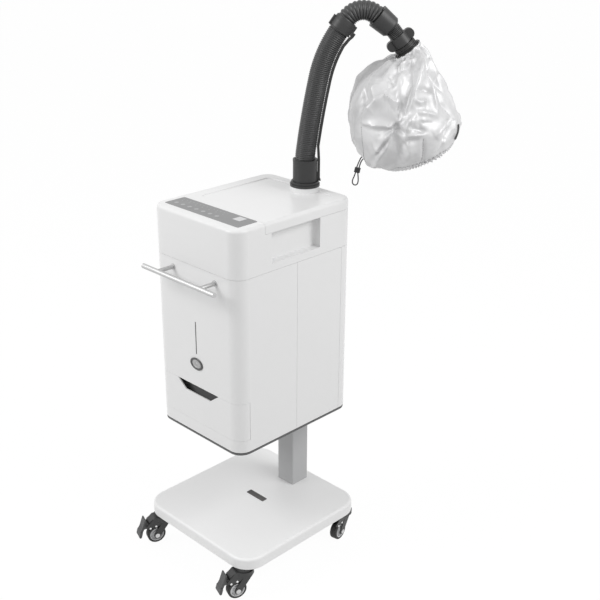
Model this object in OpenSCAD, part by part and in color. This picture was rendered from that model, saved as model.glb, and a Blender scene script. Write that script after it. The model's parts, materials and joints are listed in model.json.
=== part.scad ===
// Hair steamer on a rolling stand: cabinet with water drawer, swivelling hose arm and fabric bonnet.
// Millimetres. Origin on the floor under the centre of the base plate, front towards -Y, up is +Z.

/* [Stand] */
// Width of the base plate
base_w = 400; // [360:5:460]
// Depth of the base plate
base_d = 412; // [380:4:480]
// Thickness of the base plate
base_t = 30; // [24:1:36]
// Corner radius of the base plate, seen from above
base_r = 55; // [30:5:75]
// Rounding of the base plate's upper edge
base_edge = 7; // [3:1:9]
// Side of the square column
column_side = 58; // [50:1:70]
// Wall of the column
column_wall = 2; // [1.5:0.5:4]
// Length of the column between base and cabinet
column_len = 265; // [200:5:340]
// Distance of the column's centre ahead of the cabinet's rear face
column_in = 55; // [50:1:80]

/* [Casters] */
// Diameter of a caster wheel
wheel_d = 50; // [44:1:54]
// Width of a caster wheel
wheel_w = 20; // [16:1:24]
// Height from the floor to the underside of the base plate
caster_h = 90; // [88:1:98]
// Trail of the wheel axle behind the swivel
caster_trail = 22; // [18:1:26]
// Angle at which the two front casters stand
caster_yaw_front = -20; // [-40:5:40]
// Angle at which the two rear casters stand
caster_yaw_rear = 10; // [-40:5:40]
// Inset of a swivel from the side of the base plate
caster_inset_x = 38; // [36:1:60]
// Inset of a swivel from the front or rear of the base plate
caster_inset_y = 26; // [26:1:60]
// Diameter of the wheel axle
axle_d = 8; // [6:0.5:10]
// Diameter of the swivel's king pin
king_d = 10; // [8:0.5:12]

/* [Cabinet] */
// Width of the cabinet
cab_w = 300; // [280:5:340]
// Depth of the cabinet
cab_d = 380; // [370:5:420]
// Height of the cabinet's shells, lid included
cab_h = 560; // [540:5:620]
// Distance of the cabinet's centre behind the middle of the base
cab_y = 15; // [0:1:20]
// Radius of the cabinet's upright corners
cab_r = 34; // [28:1:40]
// Rounding along the lid's upper edge
cab_edge = 9; // [5:1:10]
// Wall of the moulded shells
wall = 3; // [2.5:0.25:4]
// Seam between two shells
seam = 0.6; // [0.4:0.1:1]
// Height of the head shell, from its seam to the top
head_h = 118; // [112:1:130]
// Depth of the front half of the side walls
front_half = 189; // [180:1:200]
// Width of the rear cover's wrap around the corners
rear_wrap = 40; // [38:1:50]
// Thickness of the grey tray under the cabinet
tray_t = 5; // [4:0.5:8]
// Shadow gap between the tray and the shells
tray_gap = 2; // [1:0.5:4]

/* [Lid] */
// Height of the lid's side lip
lid_lip = 26; // [22:1:30]
// Distance from the cabinet's front face to the lid's front seam
lid_front = 87; // [84:1:95]
// Depth of the shallow tray in the lid
dish_t = 1.5; // [1:0.5:3]
// Inset of the shallow tray from the sides
dish_inset = 37.5; // [34:0.5:50]

/* [Control panel] */
// Length of the control panel along X
panel_w = 258; // [220:2:262]
// Depth of the control panel along Y
panel_d = 61; // [50:1:61]
// Distance from the cabinet's front face to the control panel
panel_front = 24; // [20:1:25]
// Side of the square display window
display_side = 24; // [16:1:36]

/* [Grips] */
// Length of a side grip recess
grip_len = 162; // [120:2:166]
// Height of a side grip recess
grip_h = 74; // [60:1:78]
// Depth of a side grip recess
grip_depth = 22; // [16:1:26]

/* [Drawer] */
// Height of the drawer front
drawer_h = 98; // [90:1:110]
// Height of the shell below the drawer front
drawer_z = 32; // [28:1:40]
// Depth of the finger trough behind the drawer front
trough_d = 22; // [18:1:28]
// Width of the finger notch at its top
notch_top = 152; // [120:2:170]
// Width of the finger notch at its bottom
notch_low = 90; // [70:2:110]
// Depth of the finger notch
notch_h = 23; // [18:1:28]
// Length of the water tank
tank_l = 150; // [120:5:156]
// Distance from the side of the cabinet to the side of the water tank
tank_side = 25; // [22:1:40]

/* [Front] */
// Height of the water level window
level_h = 84; // [60:2:100]
// Width of the water level window
level_w = 3.6; // [2.5:0.1:6]
// Diameter of the towel bar
bar_d = 12; // [10:0.5:14]
// Length of the towel bar
bar_l = 256; // [220:2:280]
// Distance of the towel bar from the front face
bar_out = 47; // [40:1:60]
// Distance between the bar's two posts
post_gap = 150; // [120:2:160]
// Drop of the towel bar below the head shell's seam
bar_drop = 22; // [16:1:40]

/* [Hose arm] */
// Sideways place of the hose socket on the lid
socket_x = 26; // [0:1:30]
// Place of the hose socket ahead of the cabinet's rear face
socket_in = 43; // [42:1:60]
// Direction in which the arm leans, from +X towards +Y
arm_yaw = 48; // [30:1:90]
// Outer diameter of the long ribbed hose
hose_d = 49; // [44:0.5:52]
// Outer diameter of the curved ribbed hose
bend_d = 46; // [42:0.5:48]
// Outer diameter of the neck hose
neck_d = 38; // [32:0.5:40]
// Diameter of the lower cuff
cuff_d = 59; // [56:0.5:60]
// Number of ribs on the long hose
hose_ribs = 80; // [60:1:90]
// Number of ribs on the curved hose
bend_ribs = 13; // [9:1:18]
// Length of the long hose's foot, where it leaves the upright
arm_foot = 20; // [10:1:30]
// Length of the long hose's nearly straight stretch
arm_rise = 180; // [120:5:220]
// Length of the long hose's upper, curved stretch
arm_sweep = 115; // [90:5:140]
// Length of the curved hose between its clamp and its end cuff
bend_len = 76; // [64:1:100]

/* [Bonnet] */
// Width of the bonnet where it is widest
bonnet_w = 296; // [272:2:308]
// Thickness of the quilted bonnet's cloth
cloth_t = 2.5; // [2:0.25:4]
// Number of pleats gathered at the bonnet's neck
pleats = 11; // [7:1:15]
// Diameter of the drawcord
cord_d = 3; // [2.5:0.1:4]

/* [Rear] */
// Number of rows of vent slots
vent_rows = 9; // [4:1:12]
// Height of the lowest vent slot above the cabinet's lower edge
vent_rise = 200; // [170:5:240]
// Height of the mains inlet's centre above the cabinet's lower edge
inlet_rise = 60; // [50:1:90]
// Distance of the mains inlet's centre from the cabinet's middle
inlet_out = 82; // [60:1:90]

/* [Works] */
// Diameter of the boiler
boil_d = 104; // [90:2:110]
// Height of the boiler's straight wall
boil_h = 118; // [100:2:130]
// Distance from the cabinet's front face to the boiler's centre
boil_in = 140; // [120:5:150]
// Distance of the boiler's centre from the cabinet's middle
boil_out = 72; // [66:1:80]
// Diameter of the blower's housing
blow_d = 112; // [104:2:116]
// Width of the blower's housing
blow_w = 50; // [46:1:54]

/* [Hidden] */
$fn = 64;

// Clearances: between moving pieces, between fixed pieces, in a running fit and in a pressed one
gap_move = 0.3;
gap_fix = 0.05;
gap_run = 0.06;
gap_press = 0.02;
over = 1;

// Column: corner radius, foot and head plates, and the places and sizes of its bolts
column_r = 4;
foot_t = 6;
head_flange = 4;
flange_x = 22;
flange_y = 10;
flange_r = 8;
foot_bolt = 16;
bolt_r = 4.1;
bolt_head_r = 7;
bolt_head = 6;
sink_r = 8;
sink_t = 9;
screw_in = 12;
screw_y = 22;
screw_r = 3.1;
screw_head_r = 5.5;
screw_head = 4;
bore_more = 0.1;
bolt_grip = 5;
screw_grip = 3;

// Heights from the floor up
base_top = caster_h + base_t;
tray_z = base_top + column_len;
cab_z = tray_z + tray_t + tray_gap;
cab_top = cab_z + cab_h;
lid_z = cab_top - lid_lip;
head_z = cab_top - head_h;

// Drain slots in the tray
slot_step = 62;
slot_in = 90;
slot_w = 36;
slot_d = 6;
flat_end = 0.1;
tray_in = 0.5;

// Places along Y
front_y = cab_y - cab_d / 2;
rear_y = cab_y + cab_d / 2;
seam_y = front_y + front_half;
lid_y = front_y + lid_front;
wrap_y = rear_y - rear_wrap;
column_y = rear_y - column_in;
BOLTS = [for (x = [-1, 1], y = [-1, 1]) [x * foot_bolt, column_y + y * foot_bolt]];
SCREWS = [for (x = [-1, 1], y = [-1, 1]) [x * (column_side / 2 + screw_in), column_y + y * screw_y]];
side_x = cab_w / 2;

// Grip recesses lie under the lid, behind its front seam
grip_in = 17;
grip_y0 = lid_y + grip_in;
grip_y1 = grip_y0 + grip_len;
grip_z = lid_z - grip_h;

// Drawer and its bay
draw_z0 = cab_z + drawer_z;
draw_z1 = draw_z0 + drawer_h;
draw_gap = 0.35;
draw_back = front_y + cab_r - draw_gap / 2;
bay_t = 3;
bay_gap = 4;
bay_z0 = draw_z0 - bay_gap - bay_t;
bay_z1 = draw_z1 + bay_gap;
trough_y = front_y + wall + trough_d;
tank_y0 = trough_y + wall + gap_fix;
tank_y1 = tank_y0 + tank_l;
tank_w = cab_w - 2 * tank_side;
tank_up = 4;
tank_low = 14;
tank_z0 = draw_z0 + tank_up;
tank_h = drawer_h - tank_low;
tank_wall = 2.5;
lid_t = 2.5;
flange_w = 9;
flange_t = 3;
flange_z = tank_z0 + tank_h - flange_t;
rail_t = 3;
rail_gap = 1;
rail_wall = 2;
rail_down = 12;
rail_up = 4;
fill_w = 120;
fill_l = 64;
fill_r = 12;
fill_in = 18;
fill_y = tank_y0 + fill_in;
skirt_gap = 0.2;
skirt_h = 3;
skirt_t = 2;

// Shelf above the drawer bay, which carries the works
shelf_t = 2;
shelf_z = bay_z1 + bay_t;
works_z = shelf_z + shelf_t;
shelf_hole_x = 105;
shelf_hole_y = 60;
shelf_hole_r = 9;
shelf_play = 0.5;

// Socket and the duct below it
sock_y = rear_y - socket_in;
boss_h = 11;
boss_z = cab_top + boss_h;
sock_r = 36.5;
boss_r = 35.5;
sock_t = 6;
sock_h = 12;
sock_step = 3;
seat_t = 2;
duct_r = 24;
duct_wall = 2;
duct_flange = 5;
duct_flange_t = 4;
duct_play = 2;

// Caster, seen from its swivel: X along the axle, wheel trailing towards -Y
stem_x = base_w / 2 - caster_inset_x;
stem_y = base_d / 2 - caster_inset_y;
STEMS = [[-stem_x, -stem_y], [stem_x, -stem_y], [-stem_x, stem_y], [stem_x, stem_y]];
wheel_r = wheel_d / 2;
axle_r = axle_d / 2;
tread_t = 6;
king_r = king_d / 2;
axle_at = [-caster_trail, wheel_r];
cheek_t = 3;
cheek_gap = 1.5;
cheek_x = wheel_w / 2 + cheek_gap;
plate_t = 3;
race_t = 6.7;
fork_top = caster_h - plate_t - race_t - gap_move;
crown_t = 10;
crown_r = 25;
plate_r = 20.5;
plate_taper = 2.5;
king_head = 4;
king_rim = 3.5;
cap_rim = 2.2;
cap_t = 2.4;
// Wheel centre: its boss, web and rim, and how far these lap
hub_boss = 4.5;
hub_lap = 0.5;
web_w = 0.4 * wheel_w;
rim_t = 2.5;
rim_in = 1;
// Fork cheek: the arm's head and its eye at the axle, and the hood from the crown to the pedal's pin
pedal_at = [-caster_trail - 21, fork_top - 23];
cheek_head = [crown_r - 13, fork_top - 9];
cheek_head_r = 9;
eye_wall = 5;
hood_at = [-caster_trail + 2, fork_top - 15];
hood_r = 12;
hood_nose_r = 6.5;
hood_back = [-caster_trail - 5, fork_top];
cheek_low = 20;
hood_low = 22;
// Brake pedal: boss at its pin, heel, bend, toe and tip, each with its radius
pin_r = 2.5;
pedal_play = 0.6;
pedal_half = cheek_x - pedal_play;
pedal_boss_r = 5.2;
pedal_bend = pedal_at + [-16, -3];
pedal_r = 3;
pedal_heel = pedal_at + [-9, 21];
heel_r = 2;
pedal_toe = pedal_at + [-22, -15];
pedal_tip = pedal_at + [-25, -26];
toe_r = 3.5;
tread_more = 1;
tip_more = 3;

// Towel bar
bar_y = front_y - bar_out;
bar_at = head_z - bar_drop;
post_r = 5;
post_foot = 2.5;
stud_r = 3;
stud_l = 6;
stud_boss = 5;

// The rear shell's inner frame: its place ahead of the seam, its width and its height
lug_y = 4;
lug_w = 40;
lug_h = 14;

// Level window
level_up = 87;
level_z = draw_z1 + level_up;
level_rim = 4;
level_deep = 3;
level_in = 0.4;

// Rear fittings
inlet_x = -inlet_out;
inlet_z = cab_z + inlet_rise;
inlet_w = 46;
inlet_h = 66;
inlet_t = 2.5;
inlet_deep = 18;
inlet_rim = 5;
inlet_r = 4;
inlet_gap = 0.3;
inlet_floor = 3;
sock_drop = 15;
sock_w = 25;
sock_d = 17;
sock_corner = 3;
earth_up = 3;
mains_down = 2;
pin_w = 2;
pin_h = 4;
pin_l = 9;
pin_gap = 7;
rocker_up = 13;
rocker_z = inlet_z + rocker_up;
rocker_w = 16;
rocker_h = 22;
rocker_gap = 0.6;
rocker_deep = 11;
// The rocker's outline: its back, its shoulders, its raised end, its middle and its low end
rocker_back = 6;
rocker_tail = 7;
rocker_shoulder = 2;
rocker_high = 3.6;
rocker_mid = 0.6;
rocker_low = 0.2;
pivot_r = 1.5;
pivot_in = 3;
vent_z = cab_z + vent_rise;
vent_step = 11;
vent_x = 48;
vent_w = 78;
vent_h = 4.4;

// Blower behind the bay, with its outlet under the socket
blow_r = blow_d / 2;
blow_up = 16;
blow_z = works_z + blow_r + blow_up;
blow_x = socket_x - blow_r + duct_r;
blow_wall = 2;
wheel_in = 14;
wheel_back = 1;
wheel_blow_r = blow_r - wheel_in;
wheel_blow_w = blow_w - wheel_in;
shaft_r = 3;
shaft_short = 6;
outlet_up = 22;
outlet_cut = 10;
duct_z = blow_z + blow_r + outlet_up;
intake_r = 30;
motor_hole_r = 12;
motor_r = 19;
motor_t = 8;
motor_neck_r = 10;
motor_neck = 4;
blow_foot = 8;
blow_foot_x = 34;
blow_foot_top = blow_z - 0.7 * blow_r;
blades = 14;
blade_l = 9;
blade_t = 1.6;
blade_lean = 28;
blow_disc = 3;
blow_hub_r = 8;

// Boiler, its steam pipe, the water pump and the control board
boil_r = boil_d / 2;
boil_at = [-boil_out, front_y + boil_in];
boil_foot = 4;
boil_foot_t = 6;
boil_wall = 1.5;
boil_floor = 4;
dome_h = 12;
dome_in = 18;
pipe_r = 8;
pipe_wall = 2;
pipe_play = 1;
outlet_wall = 3;
outlet_h = 14;
pipe_up = 62;
pipe_z = works_z + boil_h + pipe_up;
pump_at = [78, front_y + 110];
pump_half = 24;
pump_side = 18;
pump_foot = 4;
pump_z = 21;
pump_l = 46;
pump_nose_r = 12;
pump_nose = 15;
pump_nose_at = 22;
port_r = 4;
port_x = 9;
port_y = 16;
port_z = 34;
port_h = 20;
board_down = 18;
board_z = cab_top - board_down;
board_t = 1.6;
board_in = 15;
board_in_y = 4;
board_r = 3;
board_hole = 1.3;
CHIPS = [-60, -20, 20];
chip_t = 4;
chip_w = 18;
chip_d = 14;
board_boss_r = 3.5;
board_pilot = 1.2;
board_pilot_l = 8;
boss_in = 24;
boss_in_y = 12;
panel_y = front_y + panel_front + panel_d / 2;
BOSSES = [for (x = [-1, 1], y = [-1, 1])
    [x * (panel_w / 2 - boss_in), panel_y + y * (panel_d / 2 - boss_in_y)]];
panel_in = 1;
panel_t = 1.3;
panel_r = 5;
film_gap = 0.1;
display_in = 42;
display_back = 13;
display_x = panel_w / 2 - display_in;
display_y = panel_y + display_back;
display_t = 1.2;
display_seat = 0.3;

// The lid's shallow tray and the grips' corners
dish_front = 30;
dish_rear = 32;
dish_y0 = lid_y + dish_front;
dish_y1 = rear_y - dish_rear;
dish_r = 14;
grip_r = 6;
grip_wall = 2.5;
lid_core = 7;
lid_core_r = 12;
lid_core_y = 8;

// Hose arm: the hose leans in its own upright plane, s outwards and z up
hose_r = hose_d / 2;
bend_r = bend_d / 2;
neck_r = neck_d / 2;
cuff_r = cuff_d / 2;
rib_step = 1.9;
bend_step = 2.6;
hose_wall = 4.5;
neck_wall = 3.5;
cuff_z0 = boss_z + sock_h + gap_move;
cuff_h = 66;
cuff_z1 = boss_z + cuff_h;
cuff_lip = 5;
cuff_neck = 1.5;
hose_up = 30;
hose_z0 = boss_z + hose_up;
hose_end = 0.42;
hose_play = 0.5;
strip_t = 6;
strip_w = 10;
strip_low = cuff_r + 0.8;
strip_up = hose_r + 0.6;
strip_lift = 3;
strip_far = hose_r + 6.2;
strip_pad = 3;
strip_side = 2;
strip_foot = 20;
clamp_l = 34;
clamp_wall = 1.8;
clamp_play = 0.4;
clamp_sleeve = 0.6 * clamp_l;
clamp_cone = 0.32 * clamp_l;
clamp_seat = 0.36 * clamp_l;
clip_out = 5.5;
clip_half = 4;
clip_l = 25;
tongue_z = 5;
endcuff_l = 50;
endcuff_more = 5.5;
endcuff_cone = 0.8 * endcuff_l;
endcuff_end = 0.1 * endcuff_l;
endcuff_seat = 0.2 * endcuff_l;
endcuff_floor = 0.65 * endcuff_l;
endcuff_lip = 2;
neck_ribs = 9;
neck_l = 34;
neck_lean = 141;
bend_end = 129;
collar_len = 24;
collar_r = 22;
collar_seat = 8;
spigot_r = 19;
spigot_rim = 1.8;
spigot_end = 2;
ring_w = 14;
ring_wall = 6;
ring_bead = 2;
neck_flange_r = 28.1;
neck_flange_t = 3.5;
ear_x = 24;
ear_r = 12.5;
ear_w = 14;
ring_gap = 1;
ring_at = collar_len + ring_gap + gap_move;
// Each stretch: length, heading at its start and at its end, in degrees from upright
ARM = [
    [cuff_h - hose_up - 2, 0, 0],
    [arm_foot, 0, 7],
    [arm_rise, 7, 11.5],
    [arm_sweep, 11.5, 34],
    [clamp_l, 34, 34],
    [bend_len, 34, bend_end],
    [endcuff_l, bend_end, bend_end],
    [neck_l, neck_lean, neck_lean],
    [neck_l, neck_lean, neck_lean]];

function stretch_at(p, g, t) =
    let (a = g[1], h = g[1] + (g[2] - g[1]) * t, l = g[0])
    g[1] == g[2] ? [p[0] + l * t * sin(a), p[1] + l * t * cos(a), h]
    : let (r = l / ((g[2] - g[1]) * PI / 180))
        [p[0] + r * (cos(a) - cos(h)), p[1] + r * (sin(h) - sin(a)), h];
function stretch_start(i) = i == 0 ? [0, hose_z0, 0] : stretch_at(stretch_start(i - 1), ARM[i - 1], 1);
STARTS = [for (i = [0:len(ARM) - 1]) stretch_start(i)];
// A place on the arm: the stretch's number and how far along it, gives [s, z, heading]
function arm_at(i, t) = stretch_at(STARTS[i], ARM[i], t);
function ring(q, r, n) = [for (k = [0:n - 1]) let (a = 360 * k / n)
    [q[0] + r * cos(a) * cos(q[2]), r * sin(a), q[1] - r * cos(a) * sin(q[2])]];

// Bonnet: each ring's end towards the arm, its end away from the arm, and half its depth
collar_at = arm_at(7, 0.62);
bonnet_top = stretch_at(collar_at, [ring_at + ring_w, neck_lean, neck_lean], 1);
RINGS = [
    [[-24.4, -19.8], [24.4, 19.8], 31.5],
    [[-49, -25], [44, 5], 52],
    [[-86, -48], [61, -21], 88],
    [[-115, -74], [79, -49], 113],
    [[-137, -121], [101, -92], 136],
    [[-139, -165], [122, -131], 148],
    [[-128, -209], [136, -150], 148],
    [[-106, -245], [139, -170], 142],
    [[-81, -265], [131, -189], 128],
    [[-41, -277], [117, -208], 112]];
bonnet_k = bonnet_w / 296;
bonnet_n = 48;
last_ring = len(RINGS) - 1;
// The cloth's folds: how deep as a share of the radius, at which ring and over how many rings
pleat = [0.055, 1.6, 1.5];
wave = [0.022, 5, 2.2];
waves = 5;
wave_turn = 40;
gather = [0.035, last_ring, 0.9];
gathers = 12;
dent = [0.07, 4.6, 1.3];
dent_angle = 258;
dent_width = 17;
function bell(x) = exp(-x * x);
function fold_depth(f, k) = f[0] * bell((k - f[1]) / f[2]);
// How much the cloth stands in or out: pleats at the neck, gathers at the hem, one deep dent
function fold(k, a) = fold_depth(pleat, k) * cos(pleats * a)
    + fold_depth(wave, k) * cos(waves * a + wave_turn)
    + fold_depth(gather, k) * cos(gathers * a)
    - fold_depth(dent, k) * bell((a - dent_angle) / dent_width);
function cloth_ring(k, inset) =
    let (g = RINGS[k] * bonnet_k, c = (g[0] + g[1]) / 2, h = (g[1] - g[0]) / 2, d = g[2])
    [for (i = [0:bonnet_n - 1]) let (a = 360 * i / bonnet_n, m = 1 + fold(k, a))
        [bonnet_top[0] + c[0] + h[0] * (m - inset / norm(h)) * cos(a),
         (d * m - inset) * sin(a),
         bonnet_top[1] + c[1] + h[1] * (m - inset / norm(h)) * cos(a)]];

// Drawcord, in the arm's plane from the bonnet's top: out of the hem, down, round the loop and back
cord_r = cord_d / 2;
CORD = [[-89, -3.5], [-92, -6], [-96, -11.5], [-99.5, -19], [-102.5, -26.5], [-105, -34], [-106.5, -41],
    [-108, -48], [-111, -57], [-114.5, -66], [-114.5, -73.5], [-110, -78.5], [-104, -77.5], [-101, -71],
    [-101, -60], [-102, -48], [-100.5, -41], [-99, -34], [-97, -26], [-94.5, -19.5], [-91, -14.5],
    [-87, -10.5], [-83.5, -8]];
cord_in = 5.5;
cord_drop = 249;
lock_l = 12;
lock_r = 4.3;
lock_flat = 0.3;
cord_play = 0.1;
// The cord's two strands run side by side through the lock, at these points
strand_a = 6;
strand_b = 16;

// A rectangle with round corners, centred
module round_rect(w, d, r) {
    square([w - 2 * r, d], center = true);
    square([w, d - 2 * r], center = true);
    for (x = [-1, 1], y = [-1, 1])
        translate([x * (w / 2 - r), y * (d / 2 - r)]) circle(r);
}

// Half of a slab's section: w out to the side, h high, its upper corner rounded by e
module edge_profile(w, h, e) {
    square([w - e, h]);
    square([w, h - e]);
    translate([w - e, h - e]) circle(e);
}

// A slab with round corners and a rounded upper edge
module slab(w, d, h, r, e) {
    for (s = [0, 180]) {
        rotate([0, 0, s]) rotate([90, 0, 0])
            linear_extrude(d - 2 * r, center = true) edge_profile(w / 2, h, e);
        rotate([0, 0, s + 90]) rotate([90, 0, 0])
            linear_extrude(w - 2 * r, center = true) edge_profile(d / 2, h, e);
    }
    for (x = [-1, 1], y = [-1, 1])
        translate([x * (w / 2 - r), y * (d / 2 - r), 0]) rotate_extrude() edge_profile(r, h, e);
}

// Two circles and the straight flanks that join them
module link(p, r, q, s) {
    d = norm(q - p);
    a = atan2(q[1] - p[1], q[0] - p[0]);
    b = acos((r - s) / d);
    function at(c, k, t) = c + k * [cos(t), sin(t)];
    translate(p) circle(r);
    translate(q) circle(s);
    polygon([at(p, r, a + b), at(q, s, a + b), at(q, s, a - b), at(p, r, a - b)]);
}

// An outline drawn in Y and Z, extruded along X from x0 to x1
module along_x(x0, x1) {
    translate([x0, 0, 0]) rotate([90, 0, 90]) linear_extrude(x1 - x0) children();
}

// A block from one corner to the other
module block(a, b) {
    translate(a) cube(b - a);
}

// A tube of triangles: outer rings and inner rings, each with n points
module ring_tube(outer, inner) {
    n = len(outer[0]);
    a = len(outer);
    b = len(inner);
    pts = [for (g = outer) each g, for (g = inner) each g];
    o = a * n;
    faces = [
        for (i = [0:a - 2], k = [0:n - 1]) let (l = (k + 1) % n) each
            [[i * n + k, (i + 1) * n + k, (i + 1) * n + l], [i * n + k, (i + 1) * n + l, i * n + l]],
        for (i = [0:b - 2], k = [0:n - 1]) let (l = (k + 1) % n) each
            [[o + i * n + k, o + (i + 1) * n + l, o + (i + 1) * n + k],
                [o + i * n + k, o + i * n + l, o + (i + 1) * n + l]],
        for (k = [0:n - 1]) let (l = (k + 1) % n) each
            [[k, l, o + l], [k, o + l, o + k]],
        for (k = [0:n - 1]) let (l = (k + 1) % n, p = (a - 1) * n, q = o + (b - 1) * n) each
            [[p + l, p + k, q + k], [p + l, q + k, q + l]]];
    polyhedron(pts, faces);
}

// Lengths between places, their sum up to the n-th, and where a length d along them lies
function steps(p) = [for (i = [0:len(p) - 2]) norm([p[i + 1][0] - p[i][0], p[i + 1][1] - p[i][1]])];
function total(v, n) = n <= 0 ? 0 : v[n - 1] + total(v, n - 1);
function seek(v, d, i = 0) = i >= len(v) - 1 || d <= v[i] ? [i, d / v[i]] : seek(v, d - v[i], i + 1);

// A ribbed hose over the listed places of the arm, with its bore and its ribs at an even distance
module ribbed_hose(places, ribs, r, step, bore) {
    v = steps(places);
    all = total(v, len(v));
    function place(u) = let (k = seek(v, u * all)) places[k[0]] * (1 - k[1]) + places[k[0] + 1] * k[1];
    outer = [for (i = [0:ribs - 1]) each [
        ring(place(i / ribs), r - step, 8),
        ring(place((i + 0.5) / ribs), r, 8)],
        ring(place(1), r - step, 8)];
    inner = [for (q = places) ring(q, bore, 8)];
    ring_tube(outer, inner);
}

// Carries the arm's plane to its place on the lid
module on_arm() {
    translate([socket_x, sock_y, 0]) rotate([0, 0, arm_yaw]) children();
}

// Stands a piece on a place of the arm, with its Z along the hose
module at_place(q) {
    translate([q[0], 0, q[1]]) rotate([0, q[2], 0]) children();
}

// The cabinet's outer form from z0 to z1, drawn in by inset, with a rounded top where e is not 0
module cab_form(z0, z1, inset, e) {
    translate([0, cab_y, z0])
        if (e == 0) linear_extrude(z1 - z0) round_rect(cab_w - 2 * inset, cab_d - 2 * inset, cab_r - inset);
        else slab(cab_w - 2 * inset, cab_d - 2 * inset, z1 - z0, cab_r - inset, e);
}

// The slice of space between y0 and y1 and between z0 and z1
module slice(y0, y1, z0, z1) {
    block([-side_x - over, y0, z0], [side_x + over, y1, z1]);
}

// Stand
module base_plate() {
    color("whitesmoke") difference() {
        translate([0, 0, caster_h]) slab(base_w, base_d, base_t, base_r, base_edge);
        for (p = BOLTS) translate([p[0], p[1], caster_h - over]) {
            cylinder(r = bolt_r + bore_more, h = base_t + 2 * over);
            cylinder(r = sink_r, h = sink_t + over);
        }
    }
}

module column() {
    hollow = column_side - 2 * column_wall;
    color("silver") {
        difference() {
            translate([0, column_y, base_top]) linear_extrude(column_len)
                round_rect(column_side, column_side, column_r);
            translate([0, column_y, base_top + foot_t]) linear_extrude(column_len)
                round_rect(hollow, hollow, column_r / 2);
            for (p = BOLTS) translate([p[0], p[1], base_top - over])
                cylinder(r = bolt_r + bore_more, h = foot_t + 2 * over);
        }
        difference() {
            translate([0, column_y, tray_z - head_flange]) linear_extrude(head_flange)
                round_rect(column_side + 2 * flange_x, column_side + 2 * flange_y, flange_r);
            translate([0, column_y, tray_z - head_flange - over]) linear_extrude(head_flange + 2 * over)
                round_rect(hollow, hollow, column_r / 2);
            for (p = SCREWS) translate([p[0], p[1], tray_z - head_flange - over])
                cylinder(r = screw_r + bore_more, h = head_flange + 2 * over);
        }
    }
}

// A bolt with a round head below its shank, standing on z = 0
module bolt(r, head_r, head, l) {
    cylinder(r = head_r, h = head);
    translate([0, 0, head]) cylinder(r = r, h = l);
}

module column_bolts() {
    color("dimgray") {
        for (p = BOLTS) translate([p[0], p[1], caster_h + sink_t - bolt_head])
            bolt(bolt_r, bolt_head_r, bolt_head, base_t - sink_t + foot_t + bolt_grip);
        for (p = SCREWS) translate([p[0], p[1], tray_z - head_flange - screw_head])
            bolt(screw_r, screw_head_r, screw_head, head_flange + screw_grip);
    }
}

// Casters
module at_stem(i) {
    yaw = i < 2 ? caster_yaw_front : caster_yaw_rear;
    translate([STEMS[i][0], STEMS[i][1], 0]) rotate([0, 0, yaw]) children();
}

module caster_plates() {
    color("gray") for (i = [0:3]) at_stem(i) {
        translate([0, 0, caster_h - plate_t]) cylinder(r = plate_r, h = plate_t);
        translate([0, 0, fork_top + gap_move]) cylinder(r1 = plate_r, r2 = plate_r - plate_taper, h = race_t);
        translate([0, 0, fork_top - crown_t - gap_move - king_head]) {
            cylinder(r = king_r + king_rim, h = king_head);
            cylinder(r = king_r, h = king_head + crown_t + race_t + 2 * gap_move);
        }
    }
}

// Outline of a fork cheek: an arm down to the axle and a hood out to the pedal
module cheek_outline() {
    link(cheek_head, cheek_head_r, axle_at, axle_r + eye_wall);
    link(pedal_at, hood_nose_r, hood_at, hood_r);
    polygon([hood_back, [cheek_head[0], fork_top], [cheek_head[0], fork_top - cheek_low],
        [-caster_trail, fork_top - hood_low], pedal_at + [-2, 6]]);
}

module caster_fork(i) {
    at_stem(i) color("dimgray") difference() {
        union() {
            along_x(-cheek_x - cheek_t, -cheek_x) cheek_outline();
            along_x(cheek_x, cheek_x + cheek_t) cheek_outline();
            translate([0, 0, fork_top - crown_t]) cylinder(r = crown_r, h = crown_t);
            along_x(-cheek_x - over, cheek_x + over) polygon([hood_back, [0, fork_top],
                [0, fork_top - crown_t], [hood_at[0], fork_top - crown_t],
                pedal_at + [2, 9], pedal_at + [0, 12]]);
            if (i < 2) translate([0, pedal_at[0], pedal_at[1]]) rotate([0, 90, 0])
                cylinder(r = pin_r, h = 2 * cheek_x + over, center = true);
        }
        translate([0, 0, fork_top - crown_t - over]) cylinder(r = king_r + gap_run, h = crown_t + 2 * over);
        translate([0, axle_at[0], axle_at[1]]) rotate([0, 90, 0])
            cylinder(r = axle_r + gap_press, h = 2 * (cheek_x + cheek_t) + 2 * over, center = true);
    }
}

module caster_axle(i) {
    at_stem(i) color("lightgray") translate([0, axle_at[0], axle_at[1]]) rotate([0, 90, 0]) {
        cylinder(r = axle_r, h = 2 * (cheek_x + cheek_t + gap_fix), center = true);
        for (s = [-1, 1]) translate([0, 0, s * (cheek_x + cheek_t + gap_fix + cap_t / 2)])
            cylinder(r = axle_r + cap_rim, h = cap_t, center = true);
    }
}

// Half of a wheel's turned outline, radius along X and width along Y
module band(r0, r1, w) {
    translate([r0, -w / 2]) square([r1 - r0, w]);
}

module caster_hub(i) {
    rim = wheel_r - tread_t;
    at_stem(i) color("lightgray") translate([0, axle_at[0], axle_at[1]]) rotate([0, 90, 0]) rotate_extrude() {
        band(axle_r + gap_run, axle_r + hub_boss, 2 * cheek_x - 2 * gap_move);
        band(axle_r + hub_boss - hub_lap, rim - rim_t + hub_lap, web_w);
        band(rim - rim_t, rim, wheel_w - rim_in);
    }
}

module caster_tyre(i) {
    e = (tread_t - gap_fix) / 2;
    at_stem(i) color("dimgray") translate([0, axle_at[0], axle_at[1]]) rotate([0, 90, 0]) rotate_extrude() {
        band(wheel_r - 2 * e, wheel_r - e, wheel_w);
        band(wheel_r - 2 * e, wheel_r, wheel_w - 2 * e);
        for (s = [-1, 1]) translate([wheel_r - e, s * (wheel_w / 2 - e)]) circle(e);
    }
}

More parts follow.
